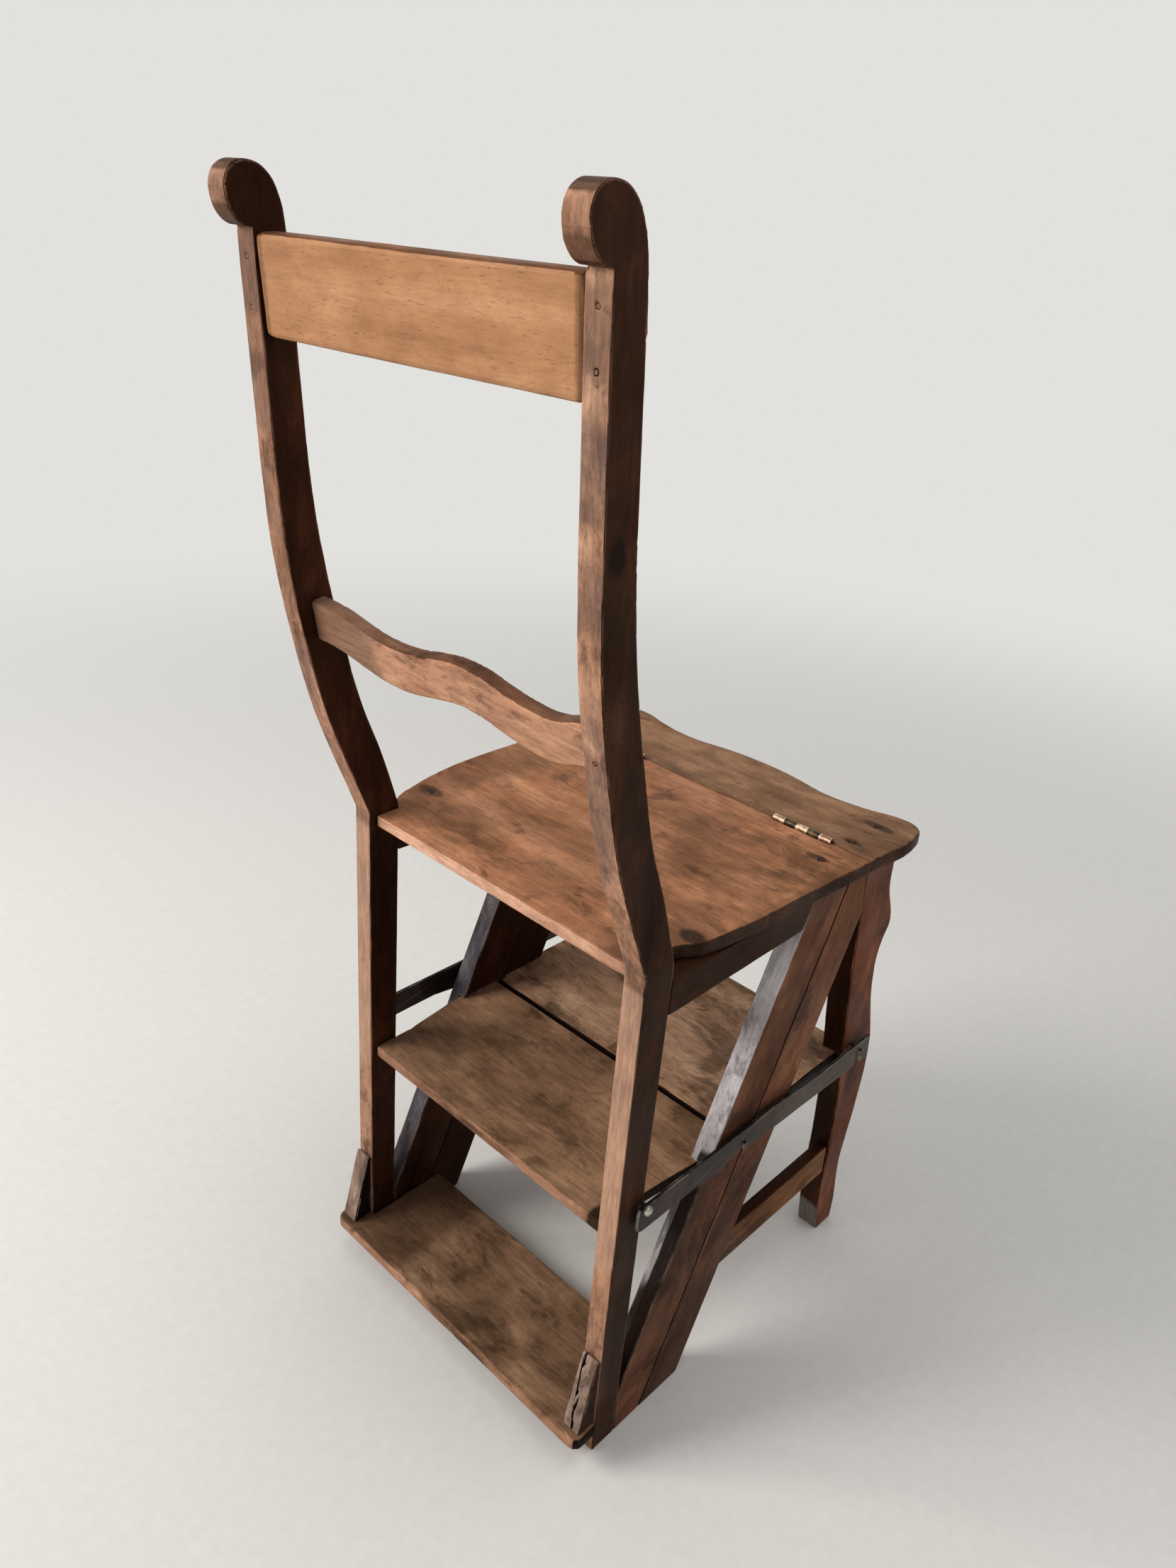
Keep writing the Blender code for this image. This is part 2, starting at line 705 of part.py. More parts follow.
def make_upper_stringer(side, name, group, cutters, materials):
    """Stringer behind the slanting gap, its foot cut against the rear leg."""
    top = board_underside - fit_gap
    width = upper_stringer_width
    points = [
        corner(gap_ahead(0.0) - seam_gap, 0.0),
        corner(gap_ahead(top) - seam_gap, top),
        corner(gap_ahead(top) - width, top),
        corner(gap_ahead(stringer_toe_height) - width, stringer_toe_height),
        corner(rear_leg_front(0.0) + fit_gap, 0.0),
    ]
    centre = side * (frame_half_width - frame_thickness / 2)
    mesh = outline_mesh(name, side_outline(points), frame_thickness, side_view)
    stringer = add_piece(name, shifted(mesh, (centre, 0.0, 0.0)), materials["grey wood"], group)
    round_edges(stringer, stringer_edge)
    inner = frame_half_width - frame_thickness
    low = (
        side * (inner - cut_margin), y_at(rear_tread_front + fit_gap), rear_tread_bottom - fit_gap,
    )
    high = (
        side * (inner + tread_housing + fit_gap), y_at(rear_tread_back),
        rear_tread_bottom + rear_tread_thickness + fit_gap,
    )
    housing = box_mesh(name + "_housing", low, high)
    add_cut(stringer, add_cutter(name + "_housing", housing, cutters))
    pin = catch_pin_rod(side, rest_notch_ahead, frame_half_width, fit_gap)
    bore = rods_mesh(name + "_bore", [pin], along_x)
    add_cut(stringer, add_cutter(name + "_bore", bore, cutters))
    return stringer


def make_lower_stringer(side, name, group, cutters, materials):
    """Stringer ahead of the slanting gap, its head cut against the front leg."""
    top = board_underside - fit_gap
    width = lower_stringer_width
    points = [
        corner(gap_ahead(0.0) + width, 0.0),
        corner(gap_ahead(stringer_head_height) + width - slide_gap, stringer_head_height),
        corner(front_leg_rear(top) - slide_gap, top),
        corner(gap_ahead(top) + seam_gap, top),
        corner(gap_ahead(0.0) + seam_gap, 0.0),
    ]
    centre = side * (frame_half_width - frame_thickness / 2)
    mesh = outline_mesh(name, side_outline(points), frame_thickness, side_view)
    stringer = add_piece(name, shifted(mesh, (centre, 0.0, 0.0)), materials["brown wood"], group)
    round_edges(stringer, stringer_edge)
    inner = frame_half_width - frame_thickness
    low = (
        side * (inner - cut_margin), y_at(front_tread_front), front_tread_bottom - fit_gap,
    )
    high = (
        side * (inner + tread_housing + fit_gap), y_at(front_tread_back),
        front_tread_bottom + front_tread_thickness + fit_gap,
    )
    housing = box_mesh(name + "_housing", low, high)
    add_cut(stringer, add_cutter(name + "_housing", housing, cutters))
    return stringer


def make_front_leg(side, name, group, cutters, materials):
    """Sabre leg, set in a little towards its foot and housed for the front tread."""
    centre = side * (frame_half_width - front_leg_thickness / 2)
    mesh = outline_mesh(name, front_leg_outline(), front_leg_thickness, side_view)
    lean = Matrix.Identity(4)
    lean[0][2] = side * front_leg_toe_in / board_underside
    mesh.transform(lean)
    place = (centre - side * front_leg_toe_in, 0.0, 0.0)
    leg = add_piece(name, shifted(mesh, place), materials["leg wood"], group)
    round_edges(leg, front_leg_edge)
    inner = frame_half_width - frame_thickness
    low = (
        side * (inner - front_leg_thickness), y_at(front_tread_front + fit_gap),
        front_tread_bottom - fit_gap,
    )
    high = (
        side * (inner + tread_housing + fit_gap), y_at(front_tread_back),
        front_tread_bottom + front_tread_thickness + fit_gap,
    )
    housing = box_mesh(name + "_housing", low, high)
    add_cut(leg, add_cutter(name + "_housing", housing, cutters))
    face = front_leg_face(catch_pin_height(hook_notch_ahead))
    bore = rods_mesh(name + "_bore", [catch_pin_rod(side, hook_notch_ahead, face, fit_gap)], along_x)
    add_cut(leg, add_cutter(name + "_bore", bore, cutters))
    return leg


def front_leg_face(height):
    """Outer reach of the leaning front leg at a height."""
    return frame_half_width - front_leg_toe_in * (board_underside - height) / board_underside


def make_front_rail(group, materials):
    """Rail under the strip, between the front legs."""
    half = front_leg_face(board_underside - front_rail_height) - front_leg_thickness - fit_gap
    low = (-half, y_at(front_rail_ahead + front_rail_thickness), board_underside - front_rail_height)
    high = (half, y_at(front_rail_ahead), board_underside - fit_gap)
    rail = add_piece("front_rail", box_mesh("front_rail", low, high), materials["brown wood"], group)
    round_edges(rail, front_rail_edge)
    return rail


def make_side_stretcher(side, name, group, materials):
    """Low stretcher from the lower stringer to the front leg."""
    top = stretcher_bottom + stretcher_height
    width = lower_stringer_width
    points = [
        corner(gap_ahead(stretcher_bottom) + width + fit_gap, stretcher_bottom),
        corner(gap_ahead(top) + width + fit_gap, top),
        corner(front_leg_rear(top) - slide_gap, top),
        corner(front_leg_rear(stretcher_bottom) - slide_gap, stretcher_bottom),
    ]
    mesh = outline_mesh(name, side_outline(points), stretcher_thickness, side_view)
    place = (side * stretcher_half_span, 0.0, 0.0)
    stretcher = add_piece(name, shifted(mesh, place), materials["leg wood"], group)
    round_edges(stretcher, stretcher_edge)
    return stretcher


def make_side_rail(side, name, group, materials):
    """Short rail under the seat board, from the stile to the upper stringer."""
    top = board_underside - fit_gap
    bottom = board_underside - side_rail_height
    points = [
        corner(rear_leg_front(bottom) + fit_gap, bottom),
        corner(rear_leg_front(top) + fit_gap, top),
        corner(gap_ahead(top) - upper_stringer_width - fit_gap, top),
        corner(gap_ahead(bottom) - upper_stringer_width - fit_gap, bottom),
    ]
    mesh = outline_mesh(name, side_outline(points), frame_thickness, side_view)
    place = (side * (frame_half_width - frame_thickness / 2), 0.0, 0.0)
    rail = add_piece(name, shifted(mesh, place), materials["brown wood"], group)
    round_edges(rail, side_rail_edge)
    return rail


def make_treads(group, materials):
    """Two halves of the middle tread and the bottom tread with its rear lip."""
    inner = frame_half_width - frame_thickness
    housed = inner + tread_housing
    clear = inner - slide_gap
    points = [
        corner(clear, y_at(rear_tread_back)),
        corner(clear, y_at(rear_tread_front - rear_tread_shoulder_depth - rear_tread_neck_depth)),
        corner(housed, y_at(rear_tread_front - rear_tread_shoulder_depth)),
        corner(housed, y_at(rear_tread_front)),
    ]
    mesh = outline_mesh("middle_tread_rear", mirrored(points), rear_tread_thickness, plan_view)
    place = (0.0, 0.0, rear_tread_bottom + rear_tread_thickness / 2)
    rear = add_piece("middle_tread_rear", shifted(mesh, place), materials["tread wood"], group)
    round_edges(rear, tread_edge)

    points = [
        corner(clear, y_at(front_tread_back)), corner(clear, y_at(front_tread_shoulder)),
        corner(housed, y_at(front_tread_shoulder)), corner(housed, y_at(front_tread_front)),
    ]
    mesh = outline_mesh("middle_tread_front", mirrored(points), front_tread_thickness, plan_view)
    place = (0.0, 0.0, front_tread_bottom + front_tread_thickness / 2)
    front = add_piece("middle_tread_front", shifted(mesh, place), materials["tread wood"], group)
    round_edges(front, tread_edge)

    behind_leg = rear_leg_back(bottom_tread_base) - slide_gap
    round_corner = bottom_tread_lip_corner
    points = [
        corner(bottom_tread_lip_half_width - round_corner, y_at(-bottom_tread_lip)),
        corner(bottom_tread_lip_half_width, y_at(-bottom_tread_lip + round_corner)),
        corner(bottom_tread_lip_half_width, y_at(behind_leg)),
        corner(clear, y_at(behind_leg)), corner(clear, y_at(bottom_tread_front)),
    ]
    mesh = outline_mesh("bottom_tread", mirrored(points), bottom_tread_thickness, plan_view)
    place = (0.0, 0.0, bottom_tread_base + bottom_tread_thickness / 2)
    bottom = add_piece("bottom_tread", shifted(mesh, place), materials["tread wood"], group)
    round_edges(bottom, bottom_tread_edge)
    return rear, front, bottom


def crack_cutter(name, spots, inner, base, group):
    """Thin slab that opens a crack in a block's slanting rear face, closed at its last spot."""
    half = block_crack_width / 2
    path = [
        (inner - block_thickness * across_share, base + block_height * up_share)
        for across_share, up_share in spots
    ]
    outline = [corner(u - half, v) for u, v in path[:-1]] + [corner(*path[-1])]
    outline += [corner(u + half, v) for u, v in reversed(path[:-1])]
    mesh = outline_mesh(name, outline, block_crack_depth * 2, back_view)
    top = base + block_height
    foot = y_at(rear_leg_back(base) - block_base_depth)
    head = y_at(rear_leg_back(top) - block_top_depth)
    lean = Matrix.Identity(4)
    lean[1][2] = (head - foot) / block_height
    mesh.transform(Matrix.Translation((0.0, foot, base)) @ lean @ Matrix.Translation((0.0, 0.0, -base)))
    return add_cutter(name, mesh, group)


def make_block(side, name, group, cutters, materials):
    """Wedge-shaped block on the bottom tread's lip, glued behind the leg. The right one has split."""
    base = bottom_tread_base + bottom_tread_thickness + fit_gap
    top = base + block_height
    points = [
        corner(rear_leg_back(base) - fit_gap, base),
        corner(rear_leg_back(top) - fit_gap, top),
        corner(rear_leg_back(top) - block_top_depth, top),
        corner(rear_leg_back(base) - block_base_depth, base),
    ]
    mesh = outline_mesh(name, side_outline(points), block_thickness, side_view)
    place = (side * (frame_half_width - block_thickness / 2), 0.0, 0.0)
    block = add_piece(name, shifted(mesh, place), materials["light wood"], group)
    round_edges(block, block_edge)
    if side < 0:
        inner = block_thickness - frame_half_width
        for index, spots in enumerate(block_crack_shares):
            add_cut(block, crack_cutter(f"{name}_crack_{index}", spots, inner, base, cutters))
    return block


def make_leaf(side, name, way, knuckles, material, group, cutters):
    """Hinge leaf with its knuckles, bored for the pin."""
    pitch = (barrel_length + knuckle_gap) / knuckle_count
    start = hinge_inner_reach
    foot = hinge_height - leaf_depth
    neck = hinge_height - barrel_radius - barrel_clearance
    tab = hinge_height - barrel_radius / 2
    points = [corner(start, foot)]
    for index in range(knuckle_count):
        height = tab if index in knuckles else neck
        points.append(corner(start + pitch * index, height))
        points.append(corner(start + pitch * (index + 1) - knuckle_gap, height))
    points.append(corner(start + barrel_length, foot))
    points = [(side * u, v, kind) for u, v, kind in points]
    mesh = outline_mesh(name, points, leaf_thickness, back_view)
    off = way * (leaf_offset + leaf_thickness / 2)
    mesh = shifted(mesh, (0.0, y_at(hinge_ahead) + off, 0.0))
    centre = (side * (start + barrel_length / 2), y_at(hinge_ahead), hinge_height)
    leaf = add_piece(name, mesh, material, group, origin=centre)
    rods = []
    for index in knuckles:
        middle = start + pitch * (index + 1 / 2) - knuckle_gap / 2
        rods.append(((side * middle, centre[1], centre[2]), barrel_radius, pitch - knuckle_gap))
    knuckle_mesh = rods_mesh(name + "_knuckles", rods, along_x)
    add_cut(leaf, add_cutter(name + "_knuckles", knuckle_mesh, cutters), "UNION")
    bore = rods_mesh(name + "_bore", [(centre, pin_hole_radius, barrel_length + cut_margin)], along_x)
    add_cut(leaf, add_cutter(name + "_bore", bore, cutters))
    return leaf


def bar_bottom(ahead):
    """Lower edge of a hook bar: level from its step to its middle notch, then sinking a little."""
    if ahead < rest_notch_ahead:
        return bar_bottom_height + bar_step_rise
    share = (ahead - rest_notch_ahead) / (bar_front_ahead - rest_notch_ahead)
    return bar_bottom_height - bar_middle_drop - (bar_front_drop - bar_middle_drop) * share


def catch_pin_height(ahead):
    """Centre height of the pin that stands in a notch."""
    depth = rest_notch_depth if ahead == rest_notch_ahead else hook_notch_depth
    return bar_bottom(ahead) + depth - catch_pin_drop


def catch_pin_rod(side, ahead, face, clearance):
    """Pin from inside the wood to just outside the bar."""
    inner = face - catch_pin_depth - clearance
    outer = frame_half_width + bar_standoff + bar_thickness + catch_pin_stand
    middle = side * (inner + outer) / 2
    centre = (middle, y_at(ahead), catch_pin_height(ahead))
    return (centre, catch_pin_radius + clearance, outer - inner)


def make_bar(side, name, group, cutters, materials):
    """Flat iron bar, its rear end rounded, with a notch near its middle and one near its front."""
    low = bar_bottom_height
    high = low + bar_rear_depth
    round_end = bar_thickness * 2
    points = rounded_corner(bar_rear_ahead, high, 1, -1, round_end)
    points += rounded_corner(bar_rear_ahead, low, 1, 1, round_end)[::-1]
    points += [
        corner(bar_step_ahead - bar_lip_length, low),
        corner(bar_step_ahead, low - bar_lip_drop),
        corner(bar_step_ahead + bar_step_length, low + bar_step_rise),
    ]
    notches = [
        (rest_notch_ahead, rest_notch_half_width, rest_notch_depth),
        (hook_notch_ahead, hook_notch_half_width, hook_notch_depth),
    ]
    for middle, half, depth in notches:
        crown = bar_bottom(middle) + depth
        shoulder = crown - half
        points.append(corner(middle - half, bar_bottom(middle - half)))
        points.append(corner(middle - half, shoulder))
        points.append(smooth(middle, crown))
        points.append(corner(middle + half, shoulder))
        points.append(corner(middle + half, bar_bottom(middle + half)))
    points += [
        corner(bar_front_ahead, bar_bottom(bar_front_ahead)),
        corner(bar_front_ahead - bar_front_cut, low + bar_front_depth),
        corner(bar_dip_ahead, low + bar_dip_depth),
        corner(bar_bend_ahead, low + bar_bend_depth),
    ]
    mesh = outline_mesh(name, side_outline(points), bar_thickness, side_view)
    centre = side * (frame_half_width + bar_standoff + bar_thickness / 2)
    pivot = (centre, y_at(pivot_ahead), pivot_height)
    bar = add_piece(name, shifted(mesh, (centre, 0.0, 0.0)), materials["iron"], group, origin=pivot)
    round_edges(bar, bar_edge)
    hole = rods_mesh(name + "_hole", [(pivot, pivot_hole_radius, bar_thickness + cut_margin)], along_x)
    add_cut(bar, add_cutter(name + "_hole", hole, cutters))
    return bar


def make_pivot(side, word, group, materials):
    """Round-headed screw and washer that carry a hook bar."""
    under_head = frame_half_width + bar_standoff + bar_thickness + fit_gap
    root = frame_half_width - pivot_depth
    crown = under_head + pivot_head_height
    rim = under_head + pivot_head_height / 3
    profile = [
        (0.0, 0.0), (pivot_shank_radius, pivot_shank_radius),
        (pivot_shank_radius, under_head - root), (pivot_head_radius, under_head - root),
        (pivot_head_radius, rim - root), (pivot_head_radius * 7 / 8, (crown + rim) / 2 - root),
        (pivot_head_radius / 2, crown - root - pivot_head_height / 8), (0.0, crown - root),
    ]
    place = (side * root, y_at(pivot_ahead), pivot_height)
    out = (side, 0.0, 0.0)
    screw = turned_piece(word + "_pivot_screw", profile, out, materials["bright metal"], group, place)
    near = fit_gap
    far = bar_standoff - fit_gap
    bore = pivot_shank_radius + screw_seat_gap
    profile = [(bore, near), (washer_radius, near), (washer_radius, far), (bore, far), (bore, near)]
    place = (side * frame_half_width, y_at(pivot_ahead), pivot_height)
    washer = turned_piece(word + "_washer", profile, out, materials["iron"], group, place)
    return [screw, washer]


def make_catch_pin(side, name, ahead, face, group, materials):
    """Plain pin standing out of the wood into a notch of the bar."""
    centre, radius, length = catch_pin_rod(side, ahead, face, 0.0)
    mesh = rods_mesh(name, [(centre, radius, length)], along_x)
    pin = add_piece(name, mesh, materials["bright metal"], group, origin=centre)
    round_edges(pin, fit_gap * 2)
    return pin


def make_nail(name, rod, turn, group, materials):
    """Nail head as a short plug."""
    return add_piece(name, rods_mesh(name, [rod], turn), materials["iron"], group, origin=rod[0])


def parent_empty(name, place, children):
    """Carry the pieces of one moving body from a point on its joint's axis."""
    empty = bpy.data.objects.new(name, None)
    empty.location = place
    bpy.context.scene.collection.objects.link(empty)
    bpy.context.view_layer.update()
    for child in children:
        child.parent = empty
        child.matrix_parent_inverse = empty.matrix_world.inverted()
    return empty


def build():
    """Make every piece."""
    clear_scene()
    group = new_collection("step_chair")
    cutters = new_collection("cutters")
    materials = {
        "light wood": new_material("light_wood", (0.42, 0.25, 0.16), 0.55, 0.0),
        "brown wood": new_material("brown_wood", (0.26, 0.14, 0.08), 0.50, 0.0),
        "seat wood": new_material("seat_wood", (0.36, 0.18, 0.09), 0.50, 0.0),
        "leg wood": new_material("leg_wood", (0.22, 0.11, 0.06), 0.50, 0.0),
        "tread wood": new_material("tread_wood", (0.20, 0.13, 0.08), 0.60, 0.0),
        "grey wood": new_material("grey_wood", (0.36, 0.33, 0.30), 0.70, 0.0),
        "iron": new_material("iron", (0.08, 0.075, 0.07), 0.55, 0.8),
        "bright metal": new_material("bright_metal", (0.50, 0.46, 0.38), 0.35, 1.0),
        "dull brass": new_material("dull_brass", (0.16, 0.12, 0.07), 0.45, 1.0),
    }
    rear = []
    front = []
    board, strip = make_seat(group, cutters, materials)
    rear_tread, front_tread, bottom_tread = make_treads(group, materials)
    rear += make_back(group, materials) + [board, rear_tread, bottom_tread]
    front += [strip, front_tread, make_front_rail(group, materials)]
    even = range(0, knuckle_count, 2)
    odd = range(1, knuckle_count, 2)
    for side, word in ((-1, "right"), (1, "left")):
        rear.append(make_stile(side, word + "_stile", group, cutters, materials))
        rear.append(make_upper_stringer(side, word + "_upper_stringer", group, cutters, materials))
        rear.append(make_side_rail(side, word + "_side_rail", group, materials))
        rear.append(make_block(side, word + "_tread_block", group, cutters, materials))
        for spot, height in stile_nails.items():
            rod = stile_nail_rod(side, height, 0.0)
            rear.append(make_nail(word + "_stile_nail_" + spot, rod, along_y, group, materials))
        for spot, place in board_nails.items():
            rod = seat_nail_rod(side, place, 0.0)
            rear.append(make_nail(word + "_board_nail_" + spot, rod, plan_view, group, materials))
        for spot, place in strip_nails.items():
            rod = seat_nail_rod(side, place, 0.0)
            front.append(make_nail(word + "_strip_nail_" + spot, rod, plan_view, group, materials))
        front.append(make_front_leg(side, word + "_front_leg", group, cutters, materials))
        front.append(make_lower_stringer(side, word + "_lower_stringer", group, cutters, materials))
        front.append(make_side_stretcher(side, word + "_side_stretcher", group, materials))
        leaf = word + "_hinge_front_leaf"
        front.append(make_leaf(side, leaf, -1, even, materials["bright metal"], group, cutters))
        leaf = word + "_hinge_rear_leaf"
        rear.append(make_leaf(side, leaf, 1, odd, materials["dull brass"], group, cutters))
        middle = (side * (hinge_inner_reach + barrel_length / 2), y_at(hinge_ahead), hinge_height)
        pin_mesh = rods_mesh(word + "_hinge_pin", [(middle, pin_radius, barrel_length)], along_x)
        front.append(add_piece(word + "_hinge_pin", pin_mesh, materials["dull brass"], group, origin=middle))
        rear += make_pivot(side, word, group, materials)
        rest = word + "_rest_pin"
        rear.append(make_catch_pin(side, rest, rest_notch_ahead, frame_half_width, group, materials))
        face = front_leg_face(catch_pin_height(hook_notch_ahead))
        hook = word + "_catch_pin"
        front.append(make_catch_pin(side, hook, hook_notch_ahead, face, group, materials))
        make_bar(side, word + "_hook_bar", group, cutters, materials)
    parent_empty("rear_frame", (0.0, y_at(hinge_ahead), hinge_height), rear)
    parent_empty("front_frame", (0.0, 0.0, 0.0), front)


build()
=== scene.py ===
import json
import math

import bmesh
import bpy
from mathutils import Matrix, Vector, noise


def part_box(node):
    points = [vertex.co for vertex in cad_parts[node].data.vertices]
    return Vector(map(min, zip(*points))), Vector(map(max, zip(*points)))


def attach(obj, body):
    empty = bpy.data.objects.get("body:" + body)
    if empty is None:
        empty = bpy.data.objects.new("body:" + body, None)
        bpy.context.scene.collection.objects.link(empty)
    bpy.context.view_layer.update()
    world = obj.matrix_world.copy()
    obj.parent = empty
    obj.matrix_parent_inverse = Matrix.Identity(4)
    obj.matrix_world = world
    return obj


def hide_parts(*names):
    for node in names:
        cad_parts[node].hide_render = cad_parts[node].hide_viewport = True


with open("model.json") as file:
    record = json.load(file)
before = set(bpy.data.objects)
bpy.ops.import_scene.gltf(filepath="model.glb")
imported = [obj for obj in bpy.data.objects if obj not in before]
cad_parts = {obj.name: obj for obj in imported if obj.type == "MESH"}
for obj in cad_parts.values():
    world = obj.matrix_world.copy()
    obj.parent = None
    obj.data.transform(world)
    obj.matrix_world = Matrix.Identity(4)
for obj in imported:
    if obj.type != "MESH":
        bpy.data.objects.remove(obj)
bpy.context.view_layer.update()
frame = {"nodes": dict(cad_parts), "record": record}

# The chair's front is -Y, the sitter's right is -X, lengths are metres.
up = Vector((0.0, 0.0, 1.0))
across = Vector((1.0, 0.0, 0.0))
backward = Vector((0.0, 1.0, 0.0))
forward = -backward
# The stringers lean forward as they rise, and the gap between the two halves lies along them.
lean, rise = 0.4121, 0.9111
slant = Vector((0.0, -lean, rise))
seam_plane = (Vector((0.0, rise, lean)), 0.0771)
bar_run = Vector((0.0, -0.99, 0.14))
sides = ("right", "left")
nodes = frame["nodes"]
bodies = frame["record"]["behaviour"]["bodies"]
body_of = {node: body for body, names in bodies.items() for node in names}


def tone(red, green, blue):
    """A colour read as 0 to 255, made linear by the sRGB curve."""
    return tuple(
        value / 255 / 12.92 if value <= 10 else ((value / 255 + 0.055) / 1.055) ** 2.4
        for value in (red, green, blue)
    ) + (1.0,)


# Materials


class Shade:
    """One material's node tree, built a step at a time."""

    def __init__(self, name, metallic=0.0):
        self.material = bpy.data.materials.new(name)
        self.material.use_nodes = True
        self.tree = self.material.node_tree
        self.shader = self.tree.nodes["Principled BSDF"]
        self.shader.inputs["Metallic"].default_value = metallic
        coords = self.tree.nodes.new("ShaderNodeTexCoord")
        self.place = coords.outputs["Object"]
        self.facing = coords.outputs["Normal"]

    def feed(self, socket, value):
        """Link a socket to another, or set its value."""
        if isinstance(value, bpy.types.NodeSocket):
            self.tree.links.new(value, socket)
        else:
            socket.default_value = value

    def math(self, operation, first, second=0.0, clamp=False):
        """Arithmetic on numbers."""
        node = self.tree.nodes.new("ShaderNodeMath")
        node.operation = operation
        node.use_clamp = clamp
        self.feed(node.inputs[0], first)
        self.feed(node.inputs[1], second)
        return node.outputs[0]

    def vector(self, operation, first, second=(0.0, 0.0, 0.0)):
        """Arithmetic on vectors."""
        node = self.tree.nodes.new("ShaderNodeVectorMath")
        node.operation = operation
        self.feed(node.inputs[0], first)
        self.feed(node.inputs[1], second)
        return node.outputs["Value" if operation in ("DOT_PRODUCT", "LENGTH", "DISTANCE") else "Vector"]

    def stretch(self, grain, along, crosswise):
        """Coordinates drawn out along the grain."""
        side = grain.cross(across if abs(grain.x) < 0.5 else up).normalized()
        scaled = (grain * along, side * crosswise, grain.cross(side) * crosswise)
        join = self.tree.nodes.new("ShaderNodeCombineXYZ")
        for index, axis in enumerate(scaled):
            self.feed(join.inputs[index], self.vector("DOT_PRODUCT", self.place, axis))
        return join.outputs[0]

    def noise(self, place, scale, detail=3.0, roughness=0.55, distortion=0.0, seed=0.0):
        """Fractal noise, mostly between a quarter and three quarters."""
        node = self.tree.nodes.new("ShaderNodeTexNoise")
        node.noise_dimensions = "4D"
        self.feed(node.inputs["Vector"], place)
        node.inputs["W"].default_value = seed
        node.inputs["Scale"].default_value = scale
        node.inputs["Detail"].default_value = detail
        node.inputs["Roughness"].default_value = roughness
        node.inputs["Distortion"].default_value = distortion
        return node.outputs[0]

    def span(self, value, low, high, to_low=0.0, to_high=1.0):
        """Smooth step of a value from one range to another."""
        node = self.tree.nodes.new("ShaderNodeMapRange")
        node.interpolation_type = "SMOOTHSTEP"
        self.feed(node.inputs["Value"], value)
        node.inputs["From Min"].default_value = low
        node.inputs["From Max"].default_value = high
        node.inputs["To Min"].default_value = to_low
        node.inputs["To Max"].default_value = to_high
        return node.outputs["Result"]

    def mix(self, factor, first, second, blend="MIX"):
        """Mix of two colours."""
        node = self.tree.nodes.new("ShaderNodeMix")
        node.data_type = "RGBA"
        node.blend_type = blend
        self.feed(node.inputs[0], factor)
        self.feed(node.inputs[6], first)
        self.feed(node.inputs[7], second)
        return node.outputs[2]

    def part(self, axis):
        """One coordinate of the place."""
        return self.vector("DOT_PRODUCT", self.place, axis)

    def faces(self, direction, low=0.35, high=0.75):
        """Where the surface faces a way."""
        return self.span(self.vector("DOT_PRODUCT", self.facing, direction), low, high)

    def ragged(self, mask, seed=0.0, amount=0.6, scale=28.0):
        """A mask whose border wanders."""
        wander = self.math("SUBTRACT", self.noise(self.place, scale, 4.0, seed=seed), 0.5)
        moved = self.math("ADD", mask, self.math("MULTIPLY", wander, amount * 2))
        return self.span(moved, 0.3, 0.7)

    def spot(self, centre, radius, seed=0.0, amount=0.5, flat=(1.0, 1.0, 1.0)):
        """A ragged round mask about a point."""
        offset = self.vector("SUBTRACT", self.place, centre)
        offset = self.vector("MULTIPLY", offset, flat)
        reach = self.math("DIVIDE", self.vector("LENGTH", offset), radius)
        wander = self.math("SUBTRACT", self.noise(self.place, 60.0, 4.0, seed=seed), 0.5)
        reach = self.math("ADD", reach, self.math("MULTIPLY", wander, amount))
        return self.span(reach, 0.55, 1.0, 1.0, 0.0)

    def arris(self, radius=0.0022):
        """Where the surface turns a corner."""
        bevel = self.tree.nodes.new("ShaderNodeBevel")
        bevel.samples = 6
        bevel.inputs["Radius"].default_value = radius
        here = self.tree.nodes.new("ShaderNodeNewGeometry").outputs["Normal"]
        turn = self.vector("DOT_PRODUCT", bevel.outputs[0], here)
        return self.span(turn, 0.985, 0.86)

    def holes(self, scale, size, share, seed=0.0):
        """Small round holes, of which only a share of the cells have one."""
        node = self.tree.nodes.new("ShaderNodeTexVoronoi")
        node.voronoi_dimensions = "4D"
        self.feed(node.inputs["Vector"], self.place)
        node.inputs["W"].default_value = seed
        node.inputs["Scale"].default_value = scale
        near = self.span(node.outputs["Distance"], size, size * 0.6)
        split = self.tree.nodes.new("ShaderNodeSeparateColor")
        self.feed(split.inputs[0], node.outputs["Color"])
        chosen = self.math("LESS_THAN", split.outputs[0], share)
        return self.math("MULTIPLY", near, chosen)

    def finish(self, colour, roughness, height, depth=0.0006, strength=0.6):
        """Join colour, roughness and bump to the shader."""
        bump = self.tree.nodes.new("ShaderNodeBump")
        bump.inputs["Strength"].default_value = strength
        bump.inputs["Distance"].default_value = depth
        self.feed(bump.inputs["Height"], height)
        self.feed(self.shader.inputs["Base Color"], colour)
        self.feed(self.shader.inputs["Roughness"], roughness)
        self.feed(self.shader.inputs["Normal"], bump.outputs["Normal"])
        return self.material


# How often the wood's patterns change in a metre, along the grain and across it
figure_rates = (2.6, 24.0)
mottle_rates = (16.0, 26.0)
fibre_rates = (40.0, 420.0)
pore_rates = (150.0, 1300.0)
cloud_rates = (6.0, 10.0)
speck_rates = (330.0, 560.0)

# Worm holes: cells in a metre and the holes' size as a share of a cell
small_holes = (190.0, 0.12)
large_holes = (90.0, 0.085)

wax_level = 0.09
wax_tint = (255, 190, 145)
pore_dirt = (38, 23, 16)
hole_dirt = (24, 15, 12)
# seam_shade is painted shade along the gap between the two halves
seam_shade = (20, 12, 9)
seam_reach = (0.0016, 0.0009)


